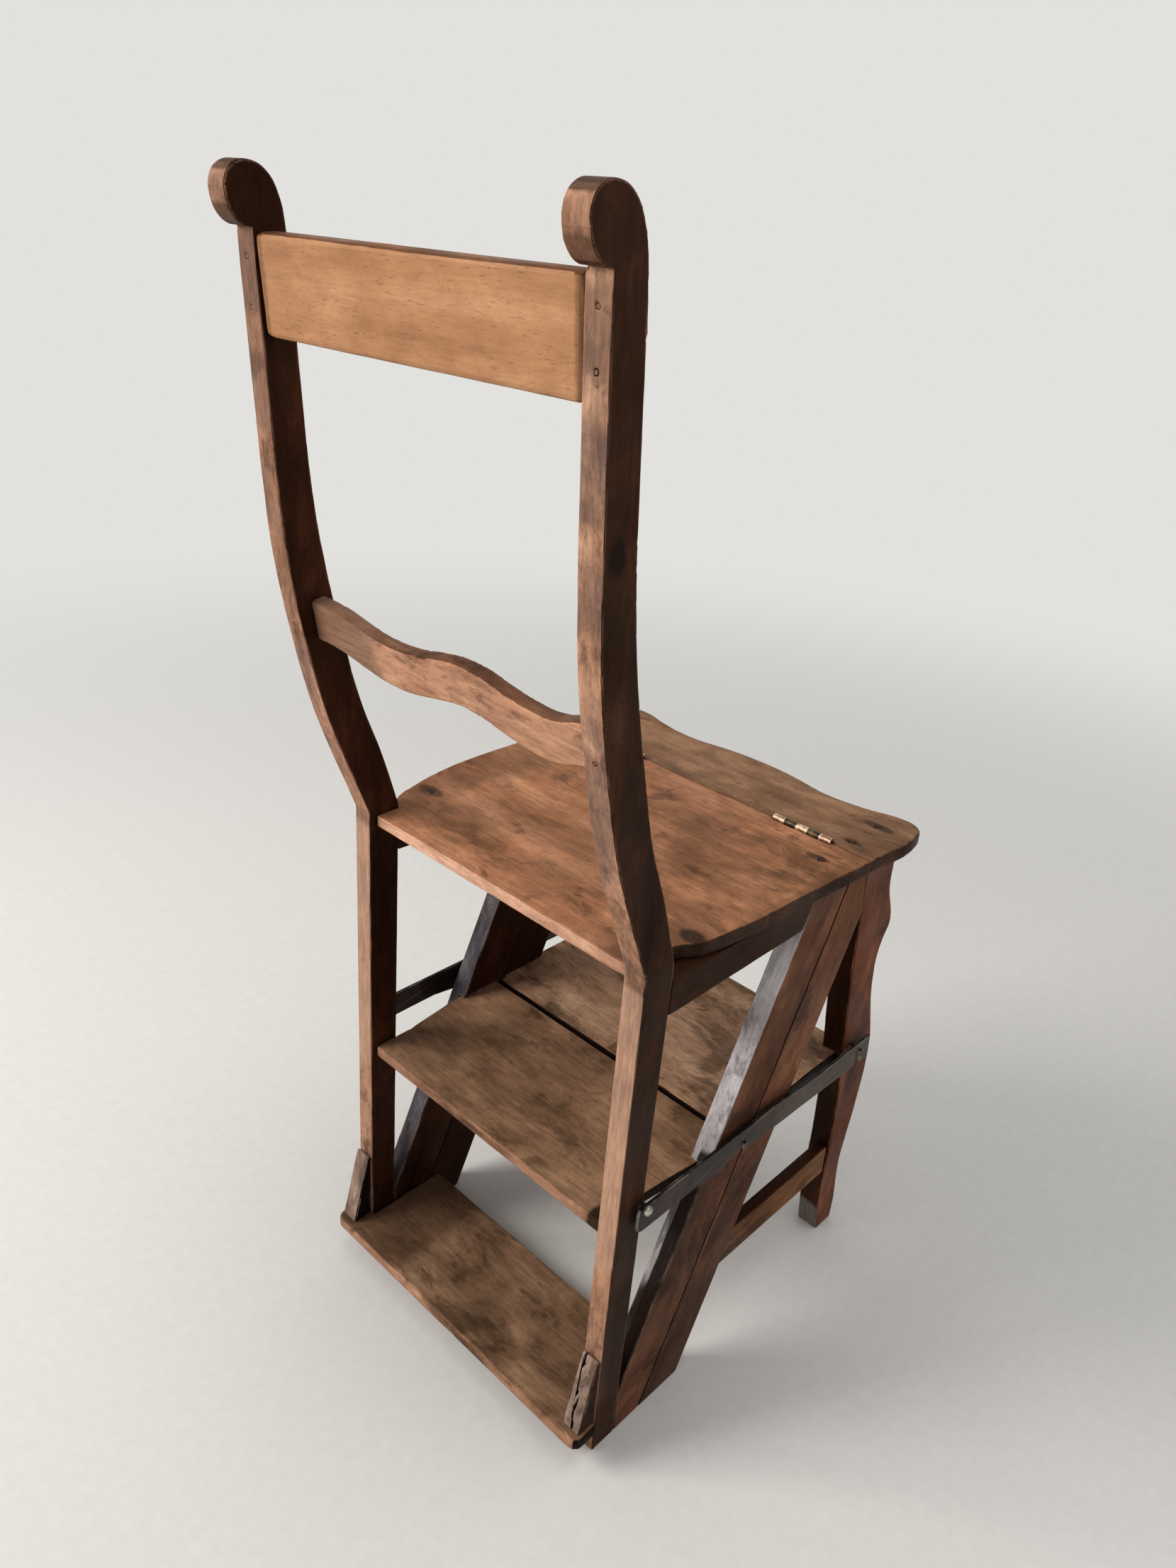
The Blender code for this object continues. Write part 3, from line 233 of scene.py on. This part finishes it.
def wood(name, grain, tones, seed=0.0, faces=(), stains=(), patches=(), spots=(), wear=None,
         wear_share=0.7, rough=(0.42, 0.62), worm=0.10, streak=0.5, dark_share=0.5, seam=None, fine=1.0):
    """Old waxed wood: figure, fibres, pores, stains, worm holes and rubbed arrises.

    tones are dark, middle and light. faces adds (direction, tones) for sides of another colour, which
    here also carries painted light and painted shade.
    stains adds (tone, low, high, rate, strength), darker where a pattern passes low to high.
    patches adds (tone, strength, direction or None, limits) for areas bounded along some axes.
    spots adds (centre, radius, tone, strength, flattening). seam is a plane's normal and offset
    where a line of painted shade runs along a gap, and fine is how strongly the fibres show.
    """
    shade = Shade(name)
    shade.shader.inputs["Specular IOR Level"].default_value = wax_level
    shade.shader.inputs["Specular Tint"].default_value = tone(*wax_tint)
    broad = shade.noise(shade.stretch(grain, *figure_rates), 1.0, 6.0, 0.62, 0.6, seed)
    mottle = shade.noise(shade.stretch(grain, *mottle_rates), 1.0, 6.0, 0.70, 0.5, seed + 6.1)
    fibre = shade.noise(shade.stretch(grain, *fibre_rates), 1.0, 3.0, 0.6, 0.0, seed + 1.7)
    pore = shade.noise(shade.stretch(grain, *pore_rates), 1.0, 2.0, 0.5, 0.0, seed + 3.1)
    cloud = shade.noise(shade.stretch(grain, *cloud_rates), 1.0, 6.0, 0.66, 0.6, seed + 5.3)
    speck = shade.noise(shade.stretch(grain, *speck_rates), 1.0, 2.0, 0.6, 0.0, seed + 8.9)
    mottled = shade.math("MULTIPLY", mottle, 1 - streak)
    blend = shade.math("ADD", shade.math("MULTIPLY", broad, streak), mottled)
    deep = shade.span(blend, 0.50, 0.38)
    high = shade.span(blend, 0.49, 0.62)
    dim = shade.math("MULTIPLY", shade.span(cloud, 0.46, 0.62), dark_share)

    def paint(set_of_tones):
        dark, middle, light = set_of_tones
        colour = shade.mix(deep, tone(*middle), tone(*dark))
        colour = shade.mix(high, colour, tone(*light))
        return shade.mix(dim, colour, tone(*dark))

    colour = paint(tones)
    for direction, set_of_tones in faces:
        side = shade.ragged(shade.faces(direction), seed + direction.x, 0.22)
        colour = shade.mix(side, colour, paint(set_of_tones))
    for stain, low, high_end, scale, strength in stains:
        patch = shade.noise(shade.stretch(grain, scale, scale * 1.7), 1.0, 6.0, 0.68, 0.6, seed + scale)
        patch = shade.math("MULTIPLY", shade.span(patch, low, high_end), strength)
        colour = shade.mix(patch, colour, tone(*stain), "DARKEN")
    for stain, strength, direction, limits in patches:
        mask = shade.faces(direction) if direction else 1.0
        for axis, low, high_end in limits:
            mask = shade.math("MULTIPLY", shade.span(shade.part(axis), low, high_end), mask)
        mask = shade.math("MULTIPLY", shade.ragged(mask, seed + strength, 0.55, 30.0), strength)
        darker = [part * 0.75 for part in stain]
        colour = shade.mix(mask, colour, shade.mix(mottle, tone(*stain), tone(*darker)))
    threads = shade.span(fibre, 0.28, 0.72, 1 - 0.22 * fine, 1 + 0.16 * fine)
    ages = shade.math("MULTIPLY", threads, shade.span(mottle, 0.30, 0.70, 0.90, 1.08))
    join = shade.tree.nodes.new("ShaderNodeCombineColor")
    for index in range(3):
        shade.feed(join.inputs[index], ages)
    colour = shade.mix(1.0, colour, join.outputs[0], "MULTIPLY")
    pores = shade.span(cloud, 0.34, 0.60, 0.25, 1.0)
    pores = shade.math("MULTIPLY", shade.span(pore, 0.60, 0.70), pores)
    specks = shade.span(mottle, 0.36, 0.62, 0.2, 1.0)
    specks = shade.math("MULTIPLY", shade.span(speck, 0.66, 0.74), specks)
    specks = shade.math("MULTIPLY", specks, 0.75)
    flecks = shade.math("MAXIMUM", shade.math("MULTIPLY", pores, 0.50), specks)
    colour = shade.mix(flecks, colour, tone(*pore_dirt))
    for centre, radius, stain, strength, flat in spots:
        mask = shade.spot(centre, radius, seed, 0.9, flat)
        colour = shade.mix(shade.math("MULTIPLY", mask, strength), colour, tone(*stain))
    uneven = shade.span(shade.noise(shade.place, 34.0, 4.0, seed=seed + 9), 0.36, 0.60)
    rubbed = shade.math("MULTIPLY", shade.arris(), uneven)
    rubbed = shade.math("MULTIPLY", rubbed, wear_share)
    colour = shade.mix(rubbed, colour, tone(*(wear or tones[2])))
    dots = shade.holes(*small_holes, worm, seed)
    dots = shade.math("MAXIMUM", dots, shade.holes(*large_holes, worm * 0.5, seed + 2))
    colour = shade.mix(shade.math("MULTIPLY", dots, 0.85), colour, tone(*hole_dirt))
    # A line of painted shade along the gap between the two halves
    if seam:
        normal, offset = seam
        away = shade.math("ABSOLUTE", shade.math("SUBTRACT", shade.part(normal), offset))
        colour = shade.mix(shade.span(away, *seam_reach), colour, tone(*seam_shade))
    height = shade.math("ADD", shade.math("MULTIPLY", fibre, 0.5), shade.math("MULTIPLY", mottle, 0.9))
    height = shade.math("SUBTRACT", height, shade.math("MULTIPLY", pores, 0.35))
    height = shade.math("SUBTRACT", height, shade.math("MULTIPLY", dots, 1.2))
    gloss = shade.span(shade.noise(shade.place, 13.0, 3.0, seed=seed + 4), 0.35, 0.65, *rough)
    return shade.finish(colour, gloss, height)


def iron(name, tones, seed=0.0, rough=(0.42, 0.62), front=None):
    """Old flat iron: dull, darker in patches, rubbed bright along its arrises, with painted shade on its
    top faces and painted light on its rear faces.
    """
    shade = Shade(name, metallic=0.75)
    dark, middle, light = tones
    cloud = shade.noise(shade.place, 26.0, 5.0, 0.62, 0.6, seed)
    fine = shade.noise(shade.place, 240.0, 3.0, 0.6, 0.0, seed + 2)
    colour = shade.mix(shade.span(cloud, 0.40, 0.62), tone(*dark), tone(*middle))
    if front:
        ahead = shade.ragged(shade.span(shade.part(forward), -0.02, 0.14), seed)
        colour = shade.mix(ahead, colour, tone(*front))
    # Painted shade on the top faces, then painted light on the rear faces
    colour = shade.mix(shade.faces(up, 0.5, 0.8), colour, tone(*[part * 0.5 for part in dark]))
    colour = shade.mix(shade.faces(backward, 0.4, 0.8), colour, tone(*light))
    colour = shade.mix(shade.span(fine, 0.55, 0.72, 0.0, 0.45), colour, tone(*dark))
    scratch = shade.noise(shade.stretch(bar_run, 14.0, 420.0), 1.0, 2.0, 0.5, 0.2, seed + 5)
    colour = shade.mix(shade.span(scratch, 0.60, 0.70, 0.0, 0.30), colour, tone(*light))
    rubbed = shade.math("MULTIPLY", shade.arris(0.0012), shade.span(cloud, 0.42, 0.60))
    colour = shade.mix(rubbed, colour, tone(*light))
    height = shade.math("ADD", cloud, shade.math("MULTIPLY", fine, 0.35))
    gloss = shade.span(cloud, 0.38, 0.64, *rough)
    return shade.finish(colour, gloss, height, 0.0005)


def metal(name, dark, light, seed=0.0, rough=(0.28, 0.5)):
    """Small worn metal fittings."""
    shade = Shade(name, metallic=0.9)
    cloud = shade.noise(shade.place, 120.0, 4.0, 0.6, 0.4, seed)
    colour = shade.mix(shade.span(cloud, 0.42, 0.60), tone(*dark), tone(*light))
    rubbed = shade.arris(0.0008)
    colour = shade.mix(shade.math("MULTIPLY", rubbed, 0.6), colour, tone(*light))
    return shade.finish(colour, shade.span(cloud, 0.35, 0.65, *rough), cloud, 0.0003)


# Aged copies of the solids


def cut_finely(shape, low, high, steps):
    """Divide a mesh by planes square to each axis."""
    for axis in range(3):
        normal = Vector([float(axis == index) for index in range(3)])
        count = int((high[axis] - low[axis]) / steps[axis])
        for index in range(1, count + 1):
            place = low + normal * (steps[axis] * (index - 0.5))
            bmesh.ops.bisect_plane(
                shape, geom=shape.verts[:] + shape.edges[:] + shape.faces[:], dist=1e-6,
                plane_co=place, plane_no=normal,
            )


def share(value, low, high):
    """Smooth step between two values."""
    part = min(max((value - low) / (high - low), 0.0), 1.0)
    return part * part * (3 - 2 * part)


# How often a hand-worked surface waves, its wear changes and its dings come, in a metre
wave_rate = 38.0
wear_rates = (55.0, 170.0)
ding_rate = 24.0
ding_offset = Vector((3.0, 1.0, 2.0))
sharp_angle = math.radians(48.0)


def age(node, material, steps=(0.009, 0.009, 0.009), wobble=0.0003, chip=0.0007, seed=0.0):
    """A hand-worked, worn copy of a CAD node in its place. Everything moves inwards."""
    mesh = nodes[node].data.copy()
    shape = bmesh.new()
    shape.from_mesh(mesh)
    bmesh.ops.remove_doubles(shape, verts=shape.verts, dist=1e-5)
    low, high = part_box(node)
    cut_finely(shape, low, high, steps)
    shape.normal_update()
    moves = []
    for vert in shape.verts:
        bend = min((face.normal.dot(vert.normal) for face in vert.link_faces), default=1.0)
        place = vert.co + Vector((seed, seed * 0.7, -seed))
        depth = wobble * (0.5 + 0.5 * noise.noise(place * wave_rate))
        edge = share(-bend, -0.985, -0.90)
        coarse, fine = [noise.noise(place * rate) for rate in wear_rates]
        worn = 0.35 + 0.9 * coarse + 0.6 * fine
        ding = share(noise.noise(place * ding_rate + ding_offset), 0.42, 0.62)
        depth += edge * (chip * max(worn, 0.0) + chip * 1.6 * ding)
        moves.append((vert, vert.normal * depth))
    for vert, move in moves:
        vert.co -= move
    shape.to_mesh(mesh)
    shape.free()
    mesh.materials.clear()
    mesh.materials.append(material)
    mesh.shade_smooth()
    mesh.set_sharp_from_angle(angle=sharp_angle)
    piece = bpy.data.objects.new("worn_" + node, mesh)
    bpy.context.scene.collection.objects.link(piece)
    weighted = piece.modifiers.new("flat faces", "WEIGHTED_NORMAL")
    weighted.weight = 80
    weighted.keep_sharp = True
    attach(piece, body_of[node])
    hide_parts(node)
    return piece


def dress(node, material):
    """A CAD node whose shape is right gets a better material."""
    mesh = nodes[node].data
    mesh.materials.clear()
    mesh.materials.append(material)


# Tones as dark, middle and light

# rear_tones and left_rear_tones: the wood's own colour, made paler as painted light on the rear faces,
# which the lamp lights from behind
rear_tones = ((132, 94, 74), (184, 137, 108), (206, 160, 130))
left_rear_tones = ((116, 82, 64), (164, 120, 94), (190, 144, 116))
# outer_tones and deep_tones: the wood's own dark colour, darkened further as painted shade for the outer
# and inner sides, which the lamp leaves in shade
outer_tones = ((30, 16, 9), (52, 30, 18), (78, 47, 31))
deep_tones = ((28, 13, 7), (48, 25, 15), (70, 38, 24))
front_tones = ((52, 30, 20), (88, 55, 38), (118, 77, 54))
crest_tones = ((166, 118, 83), (180, 131, 94), (194, 146, 109))
crest_top_tones = ((66, 40, 27), (98, 64, 43), (130, 88, 60))
mid_rail_tones = ((136, 94, 70), (190, 140, 110), (208, 160, 128))
mid_rail_top_tones = ((66, 42, 30), (104, 70, 50), (134, 94, 70))
seat_tones = ((112, 75, 51), (160, 109, 77), (184, 130, 96))
# seat_rear_tones: the board's own colour, made paler as painted light on its rear edge, which the lamp
# lights from behind
seat_rear_tones = ((150, 106, 82), (204, 154, 126), (222, 176, 148))
seat_side_tones = ((40, 28, 22), (66, 47, 38), (92, 68, 54))
strip_tones = ((80, 57, 40), (126, 92, 67), (150, 112, 83))
tread_tones = ((98, 74, 54), (148, 113, 86), (172, 134, 104))
# front_tread_lit_tones: paler than the other treads as painted light, which makes up for the shade of
# the seat and stile above it
front_tread_lit_tones = ((130, 99, 74), (192, 152, 121), (212, 173, 141))
bottom_tread_tones = ((86, 64, 47), (128, 98, 74), (152, 119, 92))
upper_tones = ((56, 34, 23), (100, 62, 42), (128, 84, 60))
lower_tones = ((62, 37, 25), (112, 70, 48), (142, 94, 68))
leg_tones = ((78, 44, 30), (118, 68, 46), (142, 88, 64))
stretcher_tones = ((70, 43, 26), (122, 80, 46), (150, 102, 62))
bleached_tones = ((124, 118, 118), (188, 182, 184), (216, 212, 214))
# shaded_bleached_tones: the bleached edge darkened as painted shade, for the left edge which lies in
# shade
shaded_bleached_tones = ((36, 36, 42), (66, 64, 70), (106, 102, 104))
block_tones = ((92, 76, 66), (150, 126, 112), (178, 154, 138))
# painted_shade_tones: near black as painted shade, for faces that lie in shade
painted_shade_tones = ((10, 7, 6), (18, 12, 10), (30, 20, 16))
plug_tones = ((30, 20, 15), (48, 32, 23), (74, 50, 36))
stile_plug_tones = ((90, 62, 46), (126, 90, 68), (150, 110, 86))


def make_wood():
    """Every wooden piece, aged, each side with its own variation."""
    scroll_under = Vector((0.0, 0.30, -0.95))
    grey_stain = ((104, 84, 76), 0.50, 0.60, 9.0, 0.55)
    violet_stain = ((106, 84, 80), 0.52, 0.62, 15.0, 0.60)
    brown_stain = ((88, 58, 42), 0.53, 0.62, 24.0, 0.55)
    dark_stain = ((44, 29, 21), 0.52, 0.62, 9.0, 0.7)
    for index, side in enumerate(sides):
        shift = 3.7 * index
        sign = (-1, 1)[index]
        outward = across * sign
        knot = []
        if side == "right":
            knot.append((Vector((-0.161, 0.1935, 0.7725)), 0.013, (16, 9, 7), 0.95, (1.0, 1.5, 1.0)))
        stile = wood(
            side + "_stile_wood", up, deep_tones, 11.0 + shift,
            # Paler rear and darker other sides: partly the wood's own colour, partly painted light on
            # the rear and painted shade on the sides
            faces=[
                (backward, (rear_tones, left_rear_tones)[index]), (outward, outer_tones),
                (forward, front_tones),
            ],
            stains=[grey_stain, violet_stain, brown_stain], spots=knot, wear=(196, 148, 120), worm=0.10,
            patches=[
                # The scroll's dark top and underside
                ((74, 49, 35), 0.80, up, [(backward, 0.155, 0.175), (up, 0.920, 0.935)]),
                ((84, 54, 39), 0.75, scroll_under, [(up, 0.893, 0.900), (backward, 0.205, 0.212)]),
                # Two greyish bands on the back, under the scroll
                ((98, 76, 70), 0.50, backward, [(up, 0.845, 0.880), (up, 0.920, 0.890)]),
                ((100, 80, 72), 0.45, backward, [(up, 0.765, 0.810), (up, 0.860, 0.820)]),
                # The paler leg under the seat
                ((220, 174, 146), 0.60, backward, [(up, 0.160, 0.260), (up, 0.480, 0.450)]),
            ],
        )
        age(side + "_stile", stile, (0.009, 0.009, 0.005), chip=0.0008, seed=shift)
        block = wood(
            side + "_block_wood", up, block_tones, 15.0 + shift,
            # Both side faces, and the crack walls, are painted dark as painted shade
            faces=[(outward, outer_tones), (-outward, painted_shade_tones)],
            stains=[((84, 64, 54), 0.52, 0.62, 20.0, 0.7)], wear=(186, 160, 144), rough=(0.6, 0.8),
        )
        age(side + "_tread_block", block, (0.006, 0.004, 0.004), 0.0005, 0.0014, shift)
        # The right top edge is bleached. The left one has the same bleached edge darkened as painted
        # shade.
        top_edge = bleached_tones if side == "right" else shaded_bleached_tones
        # The right upper edge is dark beside the bar and near the floor
        low_edge = [
            ((24, 16, 12), 0.95, seam_plane[0], [(outward, 0.1465, 0.1500), (up, 0.262, 0.240)]),
            ((30, 20, 15), 0.95, seam_plane[0], [(up, 0.17, 0.10)]),
        ]
        upper = wood(
            side + "_upper_stringer_wood", slant, upper_tones, 21.0 + shift,
            # The inner side takes deep_tones, partly painted shade
            faces=[(seam_plane[0], top_edge), (-outward, deep_tones)],
            stains=[dark_stain], patches=low_edge if side == "right" else [],
            wear=(196, 164, 146), wear_share=0.8, worm=0.14, seam=seam_plane,
        )
        age(side + "_upper_stringer", upper, (0.009, 0.009, 0.007), 0.0004, 0.0010, shift)
        lower = wood(
            side + "_lower_stringer_wood", slant, lower_tones, 24.0 + shift,
            # The inner side takes deep_tones, partly painted shade
            faces=[(-outward, deep_tones)], stains=[dark_stain],
            wear=(160, 112, 84), worm=0.10, seam=seam_plane,
            # Darker towards the floor
            patches=[((58, 38, 29), 0.6, outward, [(up, 0.16, 0.04)])],
        )
        age(side + "_lower_stringer", lower, (0.009, 0.009, 0.007), seed=shift)
        # The rail under the seat takes the dark outer tones, partly painted shade
        rail = wood(side + "_side_rail_wood", forward, outer_tones, 27.0 + shift, stains=[dark_stain])
        age(side + "_side_rail", rail, seed=shift)
        leg = wood(
            side + "_front_leg_wood", up, deep_tones, 31.0 + shift,
            # The rear and inner sides keep deep_tones, partly painted shade
            faces=[(outward, leg_tones), (forward, front_tones)], stains=[dark_stain],
            # The foot is paler behind
            patches=[((128, 118, 112), 0.9, backward, [(up, 0.055, 0.018)])], wear=(150, 104, 78),
        )
        age(side + "_front_leg", leg, (0.009, 0.009, 0.005), seed=shift)
        stretcher = wood(
            side + "_stretcher_wood", forward, stretcher_tones, 35.0 + shift,
            faces=[(up, deep_tones)], wear=(140, 96, 66),
        )
        age(side + "_side_stretcher", stretcher, seed=shift)
    crest = wood(
        "crest_wood", across, crest_tones, 41.0, faces=[(up, crest_top_tones)],
        stains=[((186, 140, 104), 0.50, 0.66, 16.0, 0.4)], wear=(96, 62, 42), wear_share=0.9,
        dark_share=0.08, worm=0.02, streak=0.6, fine=0.4,
        patches=[
            # Both ends are darker
            ((126, 86, 58), 0.6, None, [(across, 0.128, 0.140)]),
            ((126, 86, 58), 0.6, None, [(across, -0.130, -0.141)]),
        ],
    )
    age("crest_rail", crest, (0.006, 0.006, 0.006), seed=1.0)
    middle = wood(
        "mid_rail_wood", across, mid_rail_tones, 43.0, faces=[(up, mid_rail_top_tones)],
        stains=[brown_stain], wear=(104, 70, 52), wear_share=0.85,
        patches=[((140, 106, 84), 0.8, None, [(across, 0.03, 0.11)])],
    )
    age("mid_rail", middle, (0.006, 0.006, 0.006), seed=2.0)
    rail = wood("front_rail_wood", across, outer_tones, 45.0, stains=[dark_stain])
    age("front_rail", rail, seed=3.0)
    seat_stain = ((88, 58, 40), 0.52, 0.64, 7.0, 0.45)
    blotch = ((60, 40, 28), 0.57, 0.65, 26.0, 0.5)
    board = wood(
        "seat_board_wood", across, seat_tones, 51.0,
        faces=[(backward, seat_rear_tones), (across, seat_side_tones), (-across, seat_side_tones)],
        stains=[seat_stain, blotch], wear=(190, 140, 110), wear_share=0.5, worm=0.3,
        patches=[
            # Both ends are darker, and the right end most beside the stile
            ((104, 68, 46), 0.40, up, [(-across, 0.145, 0.172)]),
            ((104, 68, 46), 0.5, up, [(across, 0.10, 0.16)]),
            ((96, 62, 42), 0.6, up, [(backward, 0.02, 0.10), (-across, 0.09, 0.14)]),
        ],
        spots=[
            # Stains round the nails
            (Vector((-0.146, 0.0665, 0.475)), 0.012, (36, 24, 17), 0.9, (0.8, 1.2, 1.0)),
            (Vector((-0.140, -0.1013, 0.475)), 0.008, (48, 32, 24), 0.8, (0.6, 1.3, 1.0)),
            (Vector((0.148, 0.0647, 0.475)), 0.012, (40, 27, 20), 0.75, (0.7, 1.2, 1.0)),
        ],
    )
    age("seat_board", board, seed=4.0)
    strip = wood(
        "seat_strip_wood", across, strip_tones, 54.0, stains=[seat_stain, blotch],
        wear=(104, 72, 52), worm=0.2,
        faces=[(across, seat_side_tones), (-across, seat_side_tones), (forward, seat_side_tones)],
        spots=[
            # Stains round the right nails
            (Vector((-0.143, -0.1463, 0.475)), 0.007, (44, 31, 23), 0.8, (0.6, 1.4, 1.0)),
            (Vector((-0.145, -0.1863, 0.475)), 0.010, (42, 29, 21), 0.8, (0.55, 1.5, 1.0)),
        ],
    )
    age("seat_front_strip", strip, seed=5.0)
    plug = wood("plug_wood", up, plug_tones, 57.0, worm=0.3)
    stile_plug = wood("stile_plug_wood", up, stile_plug_tones, 58.0)
    for node in nodes:
        if "board_nail" in node or "strip_nail" in node:
            dress(node, plug)
        if "stile_nail" in node:
            dress(node, stile_plug)
    tread_stain = ((62, 46, 34), 0.52, 0.60, 8.0, 0.6)
    # Painted shade where the rear half meets the right bar, and the bottom tread's darker left end
    painted_shade_near_bar = [((22, 15, 12), 0.9, None, [(-across, 0.118, 0.135), (backward, 0.10, 0.125)])]
    left_end = [((78, 55, 40), 0.6, up, [(across, 0.03, 0.12)])]
    for offset, (name, tones, patches, rear_edge) in enumerate((
        ("middle_tread_rear", tread_tones, painted_shade_near_bar, left_rear_tones),
        # The front tread's rear edge is painted near black as painted shade
        ("middle_tread_front", front_tread_lit_tones, [], painted_shade_tones),
        ("bottom_tread", bottom_tread_tones, left_end, left_rear_tones),
    )):
        tread = wood(
            name + "_wood", across, tones, 61.0 + 3.0 * offset,
            # The end faces are painted near black as painted shade. The rear edges take the rear tones,
            # partly painted light.
            faces=[(backward, rear_edge), (across, painted_shade_tones), (-across, painted_shade_tones)],
            stains=[tread_stain, blotch], patches=patches, wear=(176, 132, 104), wear_share=0.55,
            rough=(0.5, 0.72), worm=0.22, streak=0.35,
        )
        age(name, tread, seed=6.0 + offset)


def make_metal():
    """Bars, screws, washers, pins and hinges."""
    bar = iron("bar_iron", ((42, 34, 33), (78, 65, 61), (168, 156, 144)), 71.0, front=(88, 78, 70))
    dark_iron = iron("nail_iron", ((26, 20, 18), (44, 34, 30), (86, 72, 64)), 73.0)
    bright = metal("screw_steel", (120, 112, 104), (206, 200, 192), 74.0)
    pin = iron("pin_iron", ((46, 42, 40), (84, 76, 72), (150, 142, 134)), 75.0)
    brass = metal("worn_brass", (140, 110, 90), (208, 180, 156), 76.0)
    dull = metal("dull_brass_metal", (48, 38, 28), (96, 78, 54), 77.0)
    for side in sides:
        age(side + "_hook_bar", bar, (0.009, 0.006, 0.006), 0.0002, 0.0006, 1.0)
        dress(side + "_pivot_screw", bright)
        dress(side + "_washer", dark_iron)
        dress(side + "_catch_pin", pin)
        dress(side + "_rest_pin", pin)
        dress(side + "_hinge_front_leaf", brass)
        dress(side + "_hinge_rear_leaf", dull)
        dress(side + "_hinge_pin", dull)


# Stage

backdrop_tone = (226, 225, 222)
floor_fade = (0.9, 2.6)
chair_middle = Vector((0.0, 0.0, 0.45))


def background_rays(tree):
    """1 where the background is seen directly, mirrored or through glass, else 0."""
    path = tree.nodes.new("ShaderNodeLightPath")
    seen = path.outputs["Is Camera Ray"]
    for way in ("Is Glossy Ray", "Is Transmission Ray"):
        either = tree.nodes.new("ShaderNodeMath")
        either.operation = "MAXIMUM"
        tree.links.new(seen, either.inputs[0])
        tree.links.new(path.outputs[way], either.inputs[1])
        seen = either.outputs[0]
    return seen


def make_floor(backdrop):
    """Pale floor that takes the object's shadow and fades into the backdrop."""
    mesh = bpy.data.meshes.new("floor")
    reach = 6.0
    corners = [(x * reach, y * reach, 0) for x, y in ((-1, -1), (1, -1), (1, 1), (-1, 1))]
    mesh.from_pydata(corners, [], [(0, 1, 2, 3)])
    floor = bpy.data.objects.new("floor", mesh)
    bpy.context.scene.collection.objects.link(floor)
    shade = Shade("pale_floor")
    grain = shade.noise(shade.place, 90.0, 4.0)
    colour = shade.mix(grain, tone(214, 212, 208), tone(228, 226, 222))
    mesh.materials.append(shade.finish(colour, 0.9, grain, 0.0004, 0.2))
    distant = shade.tree.nodes.new("ShaderNodeEmission")
    distant.inputs["Color"].default_value = tone(*backdrop)
    near = shade.vector("LENGTH", shade.place)
    seen = background_rays(shade.tree)
    fade = shade.tree.nodes.new("ShaderNodeMixShader")
    shade.feed(fade.inputs[0], shade.math("MULTIPLY", shade.span(near, *floor_fade), seen))
    shade.feed(fade.inputs[1], shade.shader.outputs[0])
    shade.feed(fade.inputs[2], distant.outputs[0])
    shade.feed(shade.tree.nodes["Material Output"].inputs["Surface"], fade.outputs[0])


def make_light(backdrop):
    """Even fill from the world and three large soft lamps."""
    world = bpy.data.worlds.new("studio")
    bpy.context.scene.world = world
    world.use_nodes = True
    tree = world.node_tree
    fill = tree.nodes["Background"]
    fill.inputs["Color"].default_value = (0.95, 0.97, 1.0, 1.0)
    fill.inputs["Strength"].default_value = 0.40
    seen = tree.nodes.new("ShaderNodeBackground")
    seen.inputs["Color"].default_value = tone(*backdrop)
    seen.inputs["Strength"].default_value = 1.0
    blend = tree.nodes.new("ShaderNodeMixShader")
    tree.links.new(background_rays(tree), blend.inputs[0])
    tree.links.new(fill.outputs[0], blend.inputs[1])
    tree.links.new(seen.outputs[0], blend.inputs[2])
    tree.links.new(blend.outputs[0], tree.nodes["World Output"].inputs[0])

    for name, place, size, power in (
        ("key", (1.5, 1.9, 1.9), 1.3, 66.0), ("overhead", (-0.3, -0.4, 2.6), 1.8, 16.0),
        ("side", (-2.2, -0.9, 1.3), 1.6, 4.0),
    ):
        lamp = bpy.data.lights.new(name, "AREA")
        lamp.size = size
        lamp.energy = power
        lamp.color = (1.0, 0.97, 0.93)
        holder = bpy.data.objects.new(name, lamp)
        holder.location = place
        aim = chair_middle - Vector(place)
        holder.rotation_euler = aim.to_track_quat("-Z", "Y").to_euler()
        bpy.context.scene.collection.objects.link(holder)


def make_camera():
    """The camera that the chair's straight edges give.

    Angles are in radians, and the focal length and the image's height are in pixels.
    """
    place = (-0.5560, 0.6390, 0.9376)
    turn, tilt, roll = 3.8797, 0.46065, 0.06905
    focal, image_height, sensor = 1652.3, 2212, 36.0
    ahead = -Vector((math.sin(turn) * math.cos(tilt), -math.cos(turn) * math.cos(tilt), math.sin(tilt)))
    right = Vector((math.cos(turn), math.sin(turn), 0.0))
    top = right.cross(ahead)
    rolled_right = right * math.cos(roll) + top * math.sin(roll)
    rolled_top = top * math.cos(roll) - right * math.sin(roll)
    camera = bpy.data.cameras.new("camera")
    camera.sensor_fit = "VERTICAL"
    camera.sensor_height = sensor
    camera.lens = focal / image_height * sensor
    holder = bpy.data.objects.new("camera", camera)
    basis = Matrix((rolled_right, rolled_top, -ahead)).transposed().to_4x4()
    holder.matrix_world = Matrix.Translation(place) @ basis
    bpy.context.scene.collection.objects.link(holder)
    bpy.context.scene.camera = holder
    bpy.context.scene.view_settings.view_transform = "Standard"


make_floor(backdrop_tone)
make_light(backdrop_tone)
make_camera()
make_wood()
make_metal()
